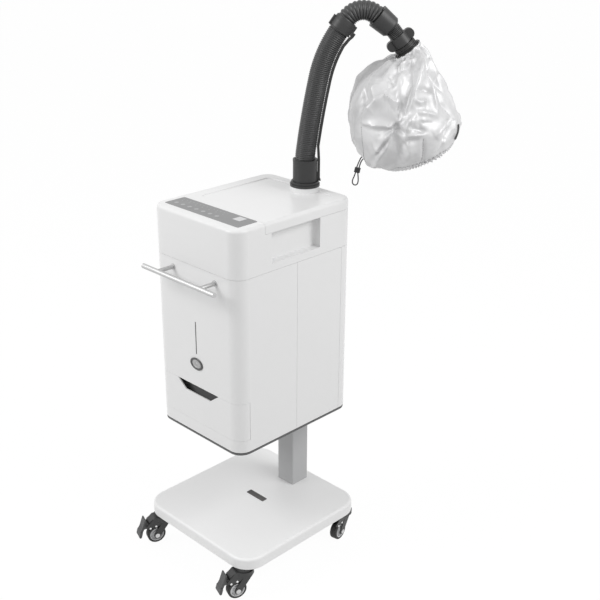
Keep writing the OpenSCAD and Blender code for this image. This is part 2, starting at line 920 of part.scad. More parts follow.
module brake_pedal(i) {
    tread_half = pedal_half + tread_more;
    tip_half = pedal_half + tip_more;
    at_stem(i) color("gray") difference() {
        union() {
            along_x(-pedal_half, pedal_half) link(pedal_at, pedal_boss_r, pedal_bend, toe_r);
            along_x(-tread_half, tread_half) {
                link(pedal_heel, heel_r, pedal_bend, pedal_r);
                link(pedal_bend, pedal_r, pedal_toe, toe_r);
            }
            along_x(-tip_half, tip_half) link(pedal_toe, toe_r, pedal_tip, toe_r);
        }
        translate([0, pedal_at[0], pedal_at[1]]) rotate([0, 90, 0])
            cylinder(r = pin_r + gap_run, h = 4 * pedal_half, center = true);
    }
}

// Cabinet shells
module bottom_tray() {
    color("darkgray") difference() {
        union() {
            cab_form(tray_z, tray_z + tray_t, tray_in, 0);
            cab_form(tray_z + tray_t - over, cab_z, wall, 0);
        }
        for (p = SCREWS) translate([p[0], p[1], tray_z - over])
            cylinder(r = screw_r + bore_more, h = tray_t + tray_gap + 2 * over);
        for (x = [-1, 0, 1]) translate([x * slot_step, front_y + slot_in, tray_z - over])
            linear_extrude(tray_t + tray_gap + 2 * over) round_rect(slot_w, slot_d, slot_d / 2 - flat_end);
    }
}

module front_shell() {
    color("white") difference() {
        union() {
            difference() {
                cab_form(cab_z, head_z - seam, 0, 0);
                cab_form(cab_z - over, head_z, wall, 0);
            }
            intersection() {
                cab_form(cab_z, head_z - seam, wall / 2, 0);
                union() {
                    slice(front_y, seam_y - seam, bay_z0, bay_z0 + bay_t);
                    slice(front_y, seam_y - seam, bay_z1, bay_z1 + bay_t);
                }
            }
            for (x = [-1, 1]) translate([x * post_gap / 2, front_y + wall - over, bar_at]) rotate([-90, 0, 0])
                cylinder(r = post_r + stud_boss, h = stud_l + over);
            block([-level_w / 2 - level_rim, front_y + over, level_z - level_rim],
                [level_w / 2 + level_rim, front_y + wall + level_deep, level_z + level_h + level_rim]);
        }
        slice(seam_y - seam / 2, rear_y + over, cab_z - over, head_z + over);
        slice(front_y - over, draw_back + draw_gap, draw_z0 - draw_gap, draw_z1 + draw_gap);
        block([-level_w / 2, front_y - over, level_z],
            [level_w / 2, front_y + wall + level_deep + over, level_z + level_h]);
        for (x = [-1, 1]) translate([x * post_gap / 2, front_y - over, bar_at]) rotate([-90, 0, 0])
            cylinder(r = stud_r + bore_more, h = wall + stud_l + 2 * over);
    }
}

module rear_shell() {
    color("white") difference() {
        intersection() {
            union() {
                difference() {
                    cab_form(cab_z, head_z - seam, 0, 0);
                    cab_form(cab_z - over, head_z, wall, 0);
                }
                intersection() {
                    cab_form(cab_z, head_z - seam, wall / 2, 0);
                    slice(wrap_y - lug_y - wall, wrap_y - lug_y, cab_z, head_z);
                }
            }
            slice(seam_y + seam / 2, wrap_y - seam / 2, cab_z, head_z);
        }
        block([-side_x + lug_w, wrap_y - lug_y - wall - over, cab_z + lug_h],
            [side_x - lug_w, wrap_y, head_z - seam - lug_h]);
        translate([socket_x, sock_y, head_z - 2 * lug_h]) cylinder(r = duct_r + duct_flange, h = 2 * lug_h);
    }
}

module rear_cover() {
    color("white") difference() {
        intersection() {
            difference() {
                cab_form(cab_z, head_z - seam, 0, 0);
                cab_form(cab_z - over, head_z, wall, 0);
            }
            slice(wrap_y + seam / 2, rear_y + over, cab_z, head_z);
        }
        for (x = [-1, 1], k = [0:vent_rows - 1])
            translate([x * vent_x, rear_y - wall - over, vent_z + k * vent_step]) rotate([-90, 0, 0])
                linear_extrude(wall + 2 * over) round_rect(vent_w, vent_h, vent_h / 2 - flat_end);
        block([inlet_x - inlet_w / 2 + inlet_rim, rear_y - wall - over, inlet_z - inlet_h / 2 + inlet_rim],
            [inlet_x + inlet_w / 2 - inlet_rim, rear_y + over, inlet_z + inlet_h / 2 - inlet_rim]);
    }
}

// A pocket for the fingers on one side, s = -1 or 1, grown by t
module grip_pocket(s, t) {
    x = side_x - grip_depth / 2;
    translate([s * (x + over / 2), (grip_y0 + grip_y1) / 2, grip_z - t])
        linear_extrude(lid_z - grip_z + t + (t > 0 ? -seam : over))
            round_rect(grip_depth + over + 2 * t, grip_len + 2 * t, grip_r + t);
}

module head_shell() {
    color("white") difference() {
        union() {
            difference() {
                intersection() {
                    cab_form(head_z, cab_top, 0, cab_edge);
                    union() {
                        slice(front_y - over, lid_y - seam / 2, head_z, cab_top + over);
                        slice(front_y - over, rear_y + over, head_z, lid_z - seam);
                    }
                }
                cab_form(head_z - over, cab_top - wall, wall, 0);
            }
            intersection() {
                cab_form(head_z, cab_top - wall, wall / 2, 0);
                slice(lid_y - seam / 2 - wall, lid_y - seam / 2, lid_z - seam - over, cab_top - over);
            }
            for (s = [-1, 1]) intersection() {
                grip_pocket(s, grip_wall);
                cab_form(head_z, lid_z - seam, 0, 0);
            }
            for (b = BOSSES) translate([b[0], b[1], board_z + board_t])
                cylinder(r = board_boss_r, h = cab_top - over - board_z - board_t);
        }
        for (s = [-1, 1]) grip_pocket(s, 0);
        translate([0, panel_y, cab_top - panel_in]) linear_extrude(panel_in + over)
            round_rect(panel_w, panel_d, panel_r);
        for (b = BOSSES) translate([b[0], b[1], board_z]) cylinder(r = board_pilot, h = board_pilot_l);
    }
}

module top_cover() {
    color("white") difference() {
        union() {
            difference() {
                intersection() {
                    cab_form(lid_z, cab_top, 0, cab_edge);
                    slice(lid_y + seam / 2, rear_y + over, lid_z, cab_top + over);
                }
                translate([0, (lid_y + rear_y) / 2, lid_z - over])
                    linear_extrude(lid_lip - wall - dish_t + over) round_rect(
                        cab_w - 2 * (grip_depth + lid_core), rear_y - lid_y - 2 * lid_core_y, lid_core_r);
                translate([0, (dish_y0 + dish_y1) / 2, cab_top - dish_t]) linear_extrude(dish_t + over)
                    round_rect(cab_w - 2 * dish_inset, dish_y1 - dish_y0, dish_r);
            }
            translate([socket_x, sock_y, cab_top - wall - dish_t])
                cylinder(r = boss_r, h = boss_h + wall + dish_t);
        }
        translate([socket_x, sock_y, lid_z]) cylinder(r = duct_r + duct_play, h = lid_lip + boss_h + over);
    }
}

module control_panel() {
    color("dimgray") difference() {
        translate([0, panel_y, cab_top - panel_in]) linear_extrude(panel_t)
            round_rect(panel_w - 2 * film_gap, panel_d - 2 * film_gap, panel_r);
        translate([display_x, display_y, cab_top - panel_in + display_seat])
            linear_extrude(panel_t + over) square(display_side, center = true);
    }
}

module display_window() {
    color("gainsboro") translate([display_x, display_y, cab_top - panel_in + display_seat])
        linear_extrude(display_t) square(display_side - 2 * film_gap, center = true);
}

module level_window() {
    color("darkslategray") block([-level_w / 2 + gap_fix, front_y + level_in, level_z + gap_fix],
        [level_w / 2 - gap_fix, front_y + wall + level_deep, level_z + level_h - gap_fix]);
}

module towel_bar() {
    color("silver") translate([0, bar_y, bar_at]) rotate([0, 90, 0])
        cylinder(r = bar_d / 2, h = bar_l, center = true);
}

module bar_posts() {
    color("silver") for (x = [-1, 1]) difference() {
        translate([x * post_gap / 2, 0, bar_at]) rotate([-90, 0, 0]) {
            translate([0, 0, bar_y]) cylinder(r = post_r, h = front_y - bar_y);
            translate([0, 0, front_y - post_foot]) cylinder(r = post_r + post_foot, h = post_foot);
            translate([0, 0, front_y]) cylinder(r = stud_r, h = wall + stud_l);
        }
        translate([0, bar_y, bar_at]) rotate([0, 90, 0])
            cylinder(r = bar_d / 2 + gap_press, h = bar_l + over, center = true);
    }
}

// Drawer
module drawer_front() {
    color("white") difference() {
        intersection() {
            cab_form(draw_z0, draw_z1, 0, 0);
            slice(front_y - over, draw_back, draw_z0, draw_z1);
        }
        intersection() {
            cab_form(draw_z0 + wall, draw_z1 + over, wall, 0);
            slice(front_y, trough_y, draw_z0, draw_z1 + over);
        }
        slice(trough_y + wall, draw_back + over, draw_z0 - over, draw_z1 + over);
        translate([0, front_y + wall + over, draw_z1]) rotate([90, 0, 0]) linear_extrude(wall + 2 * over)
            polygon([[-notch_top / 2, over], [-notch_top / 2, 0], [-notch_low / 2, -notch_h],
                [notch_low / 2, -notch_h], [notch_top / 2, 0], [notch_top / 2, over]]);
    }
}

module water_tank() {
    color("lightblue") difference() {
        union() {
            block([-tank_w / 2, tank_y0, tank_z0], [tank_w / 2, tank_y1, tank_z0 + tank_h]);
            block([-tank_w / 2 - flange_w, tank_y0, flange_z],
                [tank_w / 2 + flange_w, tank_y1, flange_z + flange_t]);
        }
        block([-tank_w / 2 + tank_wall, tank_y0 + tank_wall, tank_z0 + tank_wall],
            [tank_w / 2 - tank_wall, tank_y1 - tank_wall, tank_z0 + tank_h + over]);
    }
}

module tank_lid() {
    z = tank_z0 + tank_h;
    in = tank_wall + skirt_gap;
    color("gainsboro") difference() {
        union() {
            block([-tank_w / 2, tank_y0, z], [tank_w / 2, tank_y1, z + lid_t]);
            block([-tank_w / 2 + in, tank_y0 + in, z - skirt_h], [tank_w / 2 - in, tank_y1 - in, z + over]);
        }
        block([-tank_w / 2 + in + skirt_t, tank_y0 + in + skirt_t, z - skirt_h - over],
            [tank_w / 2 - in - skirt_t, tank_y1 - in - skirt_t, z]);
        translate([0, fill_y + fill_l / 2, z - over]) linear_extrude(lid_t + 2 * over)
            round_rect(fill_w, fill_l, fill_r);
    }
}

module drawer_rails() {
    x0 = tank_w / 2 + rail_gap;
    x1 = side_x - wall;
    y0 = draw_back + draw_gap + gap_move;
    top = flange_z - gap_move;
    color("silver") for (s = [-1, 1]) scale([s, 1, 1]) {
        block([x0, y0, top - rail_t], [x1, seam_y - 2 * over, top]);
        block([x1 - rail_wall, y0, top - rail_down], [x1, seam_y - 2 * over, flange_z + flange_t + rail_up]);
    }
}

// Rear fittings
module power_inlet() {
    y0 = rear_y + gap_fix;
    sock_z = inlet_z - sock_drop;
    half_w = inlet_w / 2 - inlet_rim - inlet_gap;
    half_h = inlet_h / 2 - inlet_rim - inlet_gap;
    floor_y = y0 - inlet_deep + inlet_floor;
    color("dimgray") difference() {
        union() {
            translate([inlet_x, y0, inlet_z]) rotate([-90, 0, 0])
                linear_extrude(inlet_t) round_rect(inlet_w, inlet_h, inlet_r);
            block([inlet_x - half_w, y0 - inlet_deep, inlet_z - half_h],
                [inlet_x + half_w, y0 + over, inlet_z + half_h]);
        }
        translate([inlet_x, floor_y, sock_z]) rotate([-90, 0, 0])
            linear_extrude(inlet_deep + inlet_t) round_rect(sock_w, sock_d, sock_corner);
        block([inlet_x - rocker_w / 2, y0 - rocker_deep, rocker_z - rocker_h / 2 - rocker_gap],
            [inlet_x + rocker_w / 2, y0 + inlet_t + over, rocker_z + rocker_h / 2 + rocker_gap]);
    }
    color("silver") for (x = [-pin_gap, 0, pin_gap])
        translate([inlet_x + x, floor_y - over, sock_z + (x == 0 ? earth_up : -mains_down)])
            rotate([-90, 0, 0]) linear_extrude(pin_l) square([pin_w, pin_h], center = true);
    color("dimgray") translate([inlet_x, y0 - pivot_in, rocker_z]) rotate([0, 90, 0])
        cylinder(r = pivot_r, h = rocker_w + over, center = true);
}

module rocker_switch() {
    face = rear_y + inlet_t;
    half = rocker_h / 2;
    color("black") difference() {
        along_x(inlet_x - rocker_w / 2 + gap_move, inlet_x + rocker_w / 2 - gap_move)
            polygon([[rear_y - rocker_back, rocker_z - rocker_tail],
                [rear_y - rocker_back, rocker_z + rocker_tail],
                [face - rocker_shoulder, rocker_z + half - rocker_low],
                [face + rocker_high, rocker_z + half - rocker_shoulder],
                [face + rocker_mid, rocker_z],
                [face + rocker_low, rocker_z - half + rocker_mid],
                [face - rocker_shoulder, rocker_z - half + 2 * rocker_low]]);
        translate([inlet_x, rear_y + gap_fix - pivot_in, rocker_z]) rotate([0, 90, 0])
            cylinder(r = pivot_r + gap_run, h = rocker_w + 2 * over, center = true);
    }
}

// Works inside the cabinet
module inner_shelf() {
    color("silver") difference() {
        intersection() {
            cab_form(shelf_z, shelf_z + shelf_t, wall + shelf_play, 0);
            slice(front_y, wrap_y - lug_y - wall - over, shelf_z, works_z);
        }
        for (x = [-1, 1]) translate([x * shelf_hole_x, front_y + shelf_hole_y, shelf_z - over])
            cylinder(r = shelf_hole_r, h = shelf_t + 2 * over);
    }
}

module steam_boiler() {
    color("lightsteelblue") difference() {
        translate([boil_at[0], boil_at[1], works_z]) {
            cylinder(r = boil_r, h = boil_h);
            cylinder(r = boil_r + boil_foot, h = boil_foot_t);
            translate([0, 0, boil_h]) cylinder(r1 = boil_r, r2 = boil_r - dome_in, h = dome_h);
            translate([0, 0, boil_h + dome_h]) cylinder(r = pipe_r + outlet_wall, h = outlet_h);
        }
        translate([boil_at[0], boil_at[1], works_z + boil_floor]) {
            cylinder(r = boil_r - boil_wall, h = boil_h - boil_floor);
            cylinder(r = pipe_r, h = boil_h + dome_h + outlet_h);
        }
    }
}

module water_pump() {
    color("darkgray") translate([pump_at[0], pump_at[1], works_z]) {
        block([-pump_half, -pump_side, 0], [pump_half, pump_side, pump_foot]);
        translate([0, 0, pump_z]) rotate([90, 0, 0]) cylinder(r = pump_side, h = pump_l, center = true);
        translate([0, -pump_nose_at, pump_z]) rotate([90, 0, 0]) cylinder(r = pump_nose_r, h = pump_nose);
        for (x = [-port_x, port_x]) translate([x, -port_y, port_z]) cylinder(r = port_r, h = port_h);
    }
}

// The blower's spiral outline, X sideways and Y up, grown by t
module volute(t) {
    translate([blow_x, blow_z]) circle(blow_r + t);
    translate([socket_x - duct_r - t, blow_z]) square([2 * duct_r + 2 * t, duct_z - blow_z]);
}

module blower_housing() {
    y0 = sock_y - blow_w / 2;
    color("gray") difference() {
        union() {
            translate([0, y0 + blow_w, 0]) rotate([90, 0, 0]) linear_extrude(blow_w) volute(0);
            for (x = [-1, 1]) block([blow_x + x * blow_foot_x - blow_foot, y0, works_z],
                [blow_x + x * blow_foot_x + blow_foot, y0 + blow_w, blow_foot_top]);
        }
        translate([0, y0 + blow_w - blow_wall, 0]) rotate([90, 0, 0])
            linear_extrude(blow_w - 2 * blow_wall) volute(-blow_wall);
        translate([socket_x, sock_y, duct_z - outlet_cut])
            cylinder(r = duct_r - duct_wall, h = outlet_cut + over);
        translate([blow_x, y0 - over, blow_z]) rotate([-90, 0, 0])
            cylinder(r = intake_r, h = blow_wall + 2 * over);
        translate([blow_x, y0 + blow_w - blow_wall - over, blow_z]) rotate([-90, 0, 0])
            cylinder(r = motor_hole_r, h = blow_wall + 2 * over);
    }
}

module blower_motor() {
    color("dimgray") translate([blow_x, sock_y + blow_w / 2, blow_z]) rotate([-90, 0, 0]) {
        cylinder(r = motor_r, h = motor_t);
        translate([0, 0, -blow_w + shaft_short]) cylinder(r = shaft_r, h = blow_w);
        translate([0, 0, -blow_wall]) cylinder(r = motor_neck_r, h = motor_neck);
    }
}

module blower_wheel() {
    y0 = sock_y - wheel_blow_w / 2 - wheel_back;
    color("darkslategray") translate([blow_x, y0, blow_z]) rotate([-90, 0, 0]) difference() {
        union() {
            translate([0, 0, wheel_blow_w - blow_disc]) cylinder(r = wheel_blow_r, h = blow_disc);
            cylinder(r = blow_hub_r, h = wheel_blow_w);
            difference() {
                cylinder(r = wheel_blow_r, h = blow_disc);
                translate([0, 0, -over]) cylinder(r = wheel_blow_r - blade_l - 1, h = blow_disc + 2 * over);
            }
            for (k = [0:blades - 1]) rotate([0, 0, k * 360 / blades])
                translate([wheel_blow_r - blade_l, 0, 0]) rotate([0, 0, blade_lean])
                    translate([0, -blade_t / 2, 0]) cube([blade_l, blade_t, wheel_blow_w]);
        }
        translate([0, 0, -over]) cylinder(r = shaft_r + gap_run, h = wheel_blow_w + 2 * over);
    }
}

// The pipe that rises from the boiler's outlet and runs across to the duct
module steam_pipe(r) {
    run = boil_at - [socket_x, sock_y];
    bottom = works_z + boil_h + dome_h + outlet_h + gap_fix;
    translate([socket_x, sock_y, pipe_z]) rotate([0, 0, atan2(run[1], run[0])]) rotate([0, 90, 0])
        cylinder(r = r, h = norm(run));
    translate([boil_at[0], boil_at[1], bottom])
        cylinder(r = r + pipe_play, h = pipe_z + r + pipe_play - bottom);
}

module steam_duct() {
    color("gray") difference() {
        union() {
            translate([socket_x, sock_y, duct_z + gap_fix]) {
                cylinder(r = duct_r, h = boss_z - duct_z - gap_fix);
                cylinder(r = duct_r + duct_flange, h = duct_flange_t);
            }
            steam_pipe(pipe_r + pipe_wall);
        }
        translate([socket_x, sock_y, duct_z - over])
            cylinder(r = duct_r - duct_wall, h = boss_z - duct_z + 2 * over);
        steam_pipe(pipe_r);
    }
}

module control_board() {
    color("darkgreen") difference() {
        translate([0, panel_y, board_z]) linear_extrude(board_t)
            round_rect(panel_w - 2 * board_in, panel_d - 2 * board_in_y, board_r);
        for (b = BOSSES) translate([b[0], b[1], board_z - over])
            cylinder(r = board_hole, h = board_t + 2 * over);
    }
    color("black") for (x = CHIPS) translate([x, panel_y, board_z - chip_t])
        linear_extrude(chip_t) square([chip_w, chip_d], center = true);
}

// Hose arm
module hose_socket() {
    color("dimgray") translate([socket_x, sock_y, boss_z]) difference() {
        union() {
            cylinder(r = sock_r, h = sock_t);
            cylinder(r = sock_r - sock_step, h = sock_h);
        }
        translate([0, 0, -over]) cylinder(r = duct_r - duct_wall, h = sock_h + 2 * over);
        translate([0, 0, seat_t]) cylinder(r = cuff_r - cuff_neck + gap_move, h = sock_h);
    }
}

module lower_cuff() {
    color("dimgray") on_arm() difference() {
        union() {
            translate([0, 0, boss_z + seat_t + gap_move]) cylinder(r = cuff_r - cuff_neck, h = sock_h);
            translate([0, 0, cuff_z0]) cylinder(r = cuff_r, h = cuff_z1 - cuff_z0);
            translate([0, 0, cuff_z1 - cuff_lip]) cylinder(r = cuff_r + hose_play, h = cuff_lip);
            block([0, -strip_w / 2 - strip_side, cuff_z0],
                [strip_low, strip_w / 2 + strip_side, cuff_z0 + strip_foot]);
            block([0, -strip_w / 2 - strip_side, cuff_z0],
                [strip_low + strip_t + strip_side, strip_w / 2 + strip_side, cuff_z0 + strip_pad]);
        }
        translate([0, 0, boss_z]) cylinder(r = hose_r - hose_wall, h = cuff_z1 - boss_z + over);
        translate([0, 0, hose_z0]) cylinder(r = hose_r + hose_play, h = cuff_z1 - hose_z0 + over);
    }
}

module arm_hose() {
    places = [arm_at(0, 0), arm_at(0, 0.5), for (t = [0:0.25:0.75]) arm_at(1, t),
        for (i = [2, 3], t = [0:0.125:0.875]) arm_at(i, t), arm_at(4, 0), arm_at(4, hose_end)];
    color("dimgray") on_arm() ribbed_hose(places, hose_ribs, hose_r, rib_step, hose_r - hose_wall);
}

// A flat strip: up the cuff, in to the long hose, along it, and out beside the clamp
module spine_strip() {
    foot = cuff_z0 + strip_pad;
    places = [[[0, foot, 0], strip_low], [[0, cuff_z1, 0], strip_low],
        for (t = [0:0.25:0.75]) [arm_at(2, 0.1 + 0.9 * t), strip_up],
        for (t = [0:0.2:0.8]) [arm_at(3, t), strip_up],
        [arm_at(4, 0), strip_up + strip_lift], [arm_at(4, 0.22), strip_far], [arm_at(4, 0.5), strip_far]];
    function corner(q, a, b) = [q[0] + a * cos(q[2]), b, q[1] - a * sin(q[2])];
    n = len(places);
    pts = [for (p = places) each [corner(p[0], p[1], -strip_w / 2), corner(p[0], p[1], strip_w / 2),
        corner(p[0], p[1] + strip_t, strip_w / 2), corner(p[0], p[1] + strip_t, -strip_w / 2)]];
    faces = [[0, 1, 2, 3], [4 * n - 1, 4 * n - 2, 4 * n - 3, 4 * n - 4],
        for (i = [0:n - 2], k = [0:3]) let (l = (k + 1) % 4) each
            [[4 * i + k, 4 * i + 4 + k, 4 * i + 4 + l], [4 * i + k, 4 * i + 4 + l, 4 * i + l]]];
    color("black") on_arm() polyhedron(pts, faces);
}

// The sleeve between the two hoses, with a clip on its back and a tongue for the strip's end
module top_clamp() {
    color("gray") on_arm() at_place(arm_at(4, 0.08)) difference() {
        union() {
            cylinder(r = hose_r + clamp_wall, h = clamp_sleeve);
            translate([0, 0, clamp_sleeve])
                cylinder(r1 = hose_r + clamp_wall, r2 = bend_r + clamp_wall, h = clamp_cone);
            block([0, -strip_w / 2 - strip_side, tongue_z],
                [strip_far, strip_w / 2 + strip_side, clamp_l - tongue_z]);
            block([-hose_r - clip_out, -clip_half, over], [0, clip_half, clip_l]);
        }
        translate([0, 0, -over]) cylinder(r = hose_r + clamp_play, h = clamp_seat + over);
        translate([0, 0, clamp_l / 2]) cylinder(r = bend_r + clamp_play, h = clamp_l);
        translate([0, 0, -over]) cylinder(r = hose_r - hose_wall, h = 2 * clamp_l);
    }
}

module bend_hose() {
    places = [arm_at(4, 0.62), arm_at(4, 0.8), for (t = [0:0.0625:1]) arm_at(5, t),
        arm_at(6, 0.1), arm_at(6, 0.25)];
    color("dimgray") on_arm() ribbed_hose(places, bend_ribs, bend_r, bend_step, bend_r - hose_wall);
}

module end_cuff() {
    color("dimgray") on_arm() at_place(arm_at(6, 0.1)) difference() {
        union() {
            cylinder(r1 = bend_r + endcuff_more, r2 = bend_r + endcuff_more / 2, h = endcuff_cone);
            translate([0, 0, endcuff_cone])
                cylinder(r1 = bend_r + endcuff_more / 2, r2 = neck_r + endcuff_lip, h = endcuff_end);
        }
        translate([0, 0, -over]) cylinder(r = bend_r + hose_play, h = endcuff_seat + over);
        translate([0, 0, -over]) cylinder(r = neck_r - neck_wall, h = 2 * endcuff_l);
        translate([0, 0, endcuff_floor]) cylinder(r = neck_r + hose_play, h = endcuff_l);
    }
}

module neck_hose() {
    places = [arm_at(6, 0.78), arm_at(6, 0.9), arm_at(6, 0.99), for (t = [0.1:0.2:0.7]) arm_at(7, t)];
    color("dimgray") on_arm() ribbed_hose(places, neck_ribs, neck_r, rib_step, neck_r - neck_wall);
}

module ear_collar() {
    end = ring_at + gap_move + ring_w;
    color("dimgray") on_arm() at_place(collar_at) difference() {
        union() {
            cylinder(r = collar_r, h = collar_len);
            cylinder(r = spigot_r, h = end + spigot_end);
            translate([0, 0, end]) cylinder(r = spigot_r + spigot_rim, h = spigot_end);
            for (s = [-1, 1]) translate([s * ear_x, 0, collar_len / 2]) rotate([90, 0, 0])
                cylinder(r = ear_r, h = ear_w, center = true);
        }
        translate([0, 0, -over]) cylinder(r = neck_r + hose_play, h = collar_seat + over);
        translate([0, 0, -over]) cylinder(r = neck_r - neck_wall, h = 3 * collar_len);
    }
}

module neck_ring() {
    color("black") on_arm() at_place(collar_at) translate([0, 0, ring_at]) difference() {
        union() {
            cylinder(r = spigot_r + ring_wall, h = ring_w);
            for (z = [ring_bead, 3 * ring_bead]) translate([0, 0, z])
                cylinder(r = spigot_r + ring_wall + ring_bead, h = ring_bead);
            translate([0, 0, ring_w - neck_flange_t]) cylinder(r = neck_flange_r, h = neck_flange_t);
        }
        translate([0, 0, -over]) cylinder(r = spigot_r + gap_move, h = ring_w + 2 * over);
    }
}

// Bonnet
module bonnet() {
    outer = [for (k = [0:last_ring]) cloth_ring(k, 0)];
    inner = [for (k = [0:last_ring]) cloth_ring(k, cloth_t)];
    color("gainsboro") on_arm() ring_tube(outer, inner);
}

function cord_pt(i) = bonnet_top + bonnet_k * (CORD[i] - [cord_in, cord_drop]);
module drawcord() {
    n = len(CORD);
    function dir(i) = let (a = CORD[max(i - 1, 0)], b = CORD[min(i + 1, n - 1)]) (b - a) / norm(b - a);
    pts = [for (i = [0:n - 1]) let (p = cord_pt(i), t = dir(i)) each [for (k = [0:7]) let (a = 45 * k)
        [p[0] - t[1] * cord_r * cos(a), cord_r * sin(a), p[1] + t[0] * cord_r * cos(a)]]];
    faces = [[for (k = [0:7]) k], [for (k = [7:-1:0]) (n - 1) * 8 + k],
        for (i = [0:n - 2], k = [0:7]) let (l = (k + 1) % 8) each
            [[8 * i + k, 8 * i + 8 + k, 8 * i + 8 + l], [8 * i + k, 8 * i + 8 + l, 8 * i + l]]];
    color("black") on_arm() polyhedron(pts, faces);
}

module cord_lock() {
    a = cord_pt(strand_a);
    b = cord_pt(strand_b);
    run = cord_pt(strand_a - 1) - a;
    lean = atan2(run[0], run[1]);
    apart = norm(b - a) * cos(lean) / 2;
    color("black") on_arm() translate([(a[0] + b[0]) / 2, 0, (a[1] + b[1]) / 2]) rotate([0, lean, 0])
        translate([0, 0, -lock_l / 2]) difference() {
            linear_extrude(lock_l) round_rect(2 * (apart + lock_r), 2 * lock_r, lock_r - lock_flat);
            for (x = [-apart, apart]) translate([x, 0, -over])
                cylinder(r = cord_r + cord_play, h = lock_l + 2 * over);
        }
}

base_plate();
column();
column_bolts();
caster_plates();
caster_fork(0);  // caster_fork_1
caster_fork(1);  // caster_fork_2
caster_fork(2);  // caster_fork_3
caster_fork(3);  // caster_fork_4
caster_axle(0);  // caster_axle_1
caster_axle(1);  // caster_axle_2
caster_axle(2);  // caster_axle_3
caster_axle(3);  // caster_axle_4
caster_hub(0);  // caster_hub_1
caster_hub(1);  // caster_hub_2
caster_hub(2);  // caster_hub_3
caster_hub(3);  // caster_hub_4
caster_tyre(0);  // caster_tyre_1
caster_tyre(1);  // caster_tyre_2
caster_tyre(2);  // caster_tyre_3
caster_tyre(3);  // caster_tyre_4
brake_pedal(0);  // brake_pedal_1
brake_pedal(1);  // brake_pedal_2
bottom_tray();
front_shell();
rear_shell();
rear_cover();
head_shell();
top_cover();
control_panel();
display_window();
level_window();
towel_bar();
bar_posts();
drawer_front();
water_tank();
tank_lid();
drawer_rails();
power_inlet();
rocker_switch();
inner_shelf();
steam_boiler();
water_pump();
blower_housing();
blower_motor();
blower_wheel();
steam_duct();
control_board();
hose_socket();
lower_cuff();
arm_hose();
spine_strip();
top_clamp();
bend_hose();
end_cuff();
neck_hose();
ear_collar();
neck_ring();
bonnet();
drawcord();
cord_lock();
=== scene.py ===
"""A hair steamer on a rolling stand: finishes, hoses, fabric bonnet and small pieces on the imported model."""

import json
import math
import random

import bmesh
import bpy
import numpy as np
from mathutils import Matrix, Vector, noise


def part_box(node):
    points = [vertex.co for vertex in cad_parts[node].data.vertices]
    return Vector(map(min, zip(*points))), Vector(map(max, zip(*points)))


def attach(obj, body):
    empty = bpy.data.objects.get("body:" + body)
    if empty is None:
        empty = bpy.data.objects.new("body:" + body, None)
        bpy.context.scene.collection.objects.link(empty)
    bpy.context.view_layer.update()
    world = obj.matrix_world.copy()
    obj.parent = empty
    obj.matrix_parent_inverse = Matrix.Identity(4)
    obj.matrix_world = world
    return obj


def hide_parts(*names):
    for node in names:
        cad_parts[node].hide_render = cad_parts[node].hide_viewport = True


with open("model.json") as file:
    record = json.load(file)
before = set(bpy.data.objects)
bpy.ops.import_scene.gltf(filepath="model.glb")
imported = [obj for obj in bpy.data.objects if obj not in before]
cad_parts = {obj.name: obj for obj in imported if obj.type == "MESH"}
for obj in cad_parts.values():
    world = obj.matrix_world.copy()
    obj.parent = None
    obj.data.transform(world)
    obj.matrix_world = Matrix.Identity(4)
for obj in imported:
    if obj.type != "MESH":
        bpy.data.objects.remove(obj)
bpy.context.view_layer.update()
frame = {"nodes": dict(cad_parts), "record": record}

MM = 0.001

# Camera: the photograph's place, seen from the front right and above
LENS = 61.10
SENSOR_WIDTH = 36
CAMERA_AZIMUTH = math.radians(44.7)
CAMERA_HEIGHT_ANGLE = math.radians(22.893)
CAMERA_ROLL = math.radians(0.406)
CAMERA_DISTANCE = 2.491829
CAMERA_TARGET = Vector((0.096641, 0.076599, 0.704))

# Light: a soft room and two large lamps, one towards each visible side of the cabinet
ROOM_STRENGTH = 0.56
LAMP_AIM = Vector((0.05, 0.05, 0.65))
LAMPS = [("left_softbox", Vector((-1.30, -2.30, 2.60)), 50.0, 1.6),
         ("right_softbox", Vector((2.40, 0.80, 2.60)), 44.0, 1.6)]
# Floor: its size in metres, its own tone, and the share and strength of the white that the camera sees there
FLOOR_SIZE = 44.0
FLOOR_TONE = 0.62
FLOOR_GLOW = 0.94
FLOOR_WHITE = 1.03
FLOOR_DROP = 0.0002

# The hose arm leans in an upright plane through the socket: s runs outwards and z up
SOCKET = Vector((26 * MM, 162 * MM, 0))
ARM_YAW = math.radians(48)
HOSE_START = 993 * MM
# Each stretch: length in millimetres, heading at its start and at its end, in degrees from upright
ARM = [(34, 0, 0), (20, 0, 7), (180, 7, 11.5), (115, 11.5, 34), (34, 34, 34), (76, 34, 129), (50, 129, 129),
       (34, 141, 141), (34, 141, 141)]


def along(start, stretch, t):
    """A place and heading on one stretch of the arm, t from 0 to 1."""
    length, first, last = stretch[0] * MM, math.radians(stretch[1]), math.radians(stretch[2])
    heading = first + (last - first) * t
    if first == last:
        return start[0] + length * t * math.sin(first), start[1] + length * t * math.cos(first), heading
    bend = length / (last - first)
    return (start[0] + bend * (math.cos(first) - math.cos(heading)),
            start[1] + bend * (math.sin(heading) - math.sin(first)), heading)


def arm_at(number, t):
    """A place (s, z, heading) on the arm, on the stretch of that number."""
    place = (0.0, HOSE_START, 0.0)
    for stretch in ARM[:number]:
        place = along(place, stretch, 1)
    return along(place, ARM[number], t)


def in_arm(s, side, z):
    """A point of the arm's own plane carried to its place on the lid."""
    return Vector((SOCKET.x + s * math.cos(ARM_YAW) - side * math.sin(ARM_YAW),
                   SOCKET.y + s * math.sin(ARM_YAW) + side * math.cos(ARM_YAW), z))


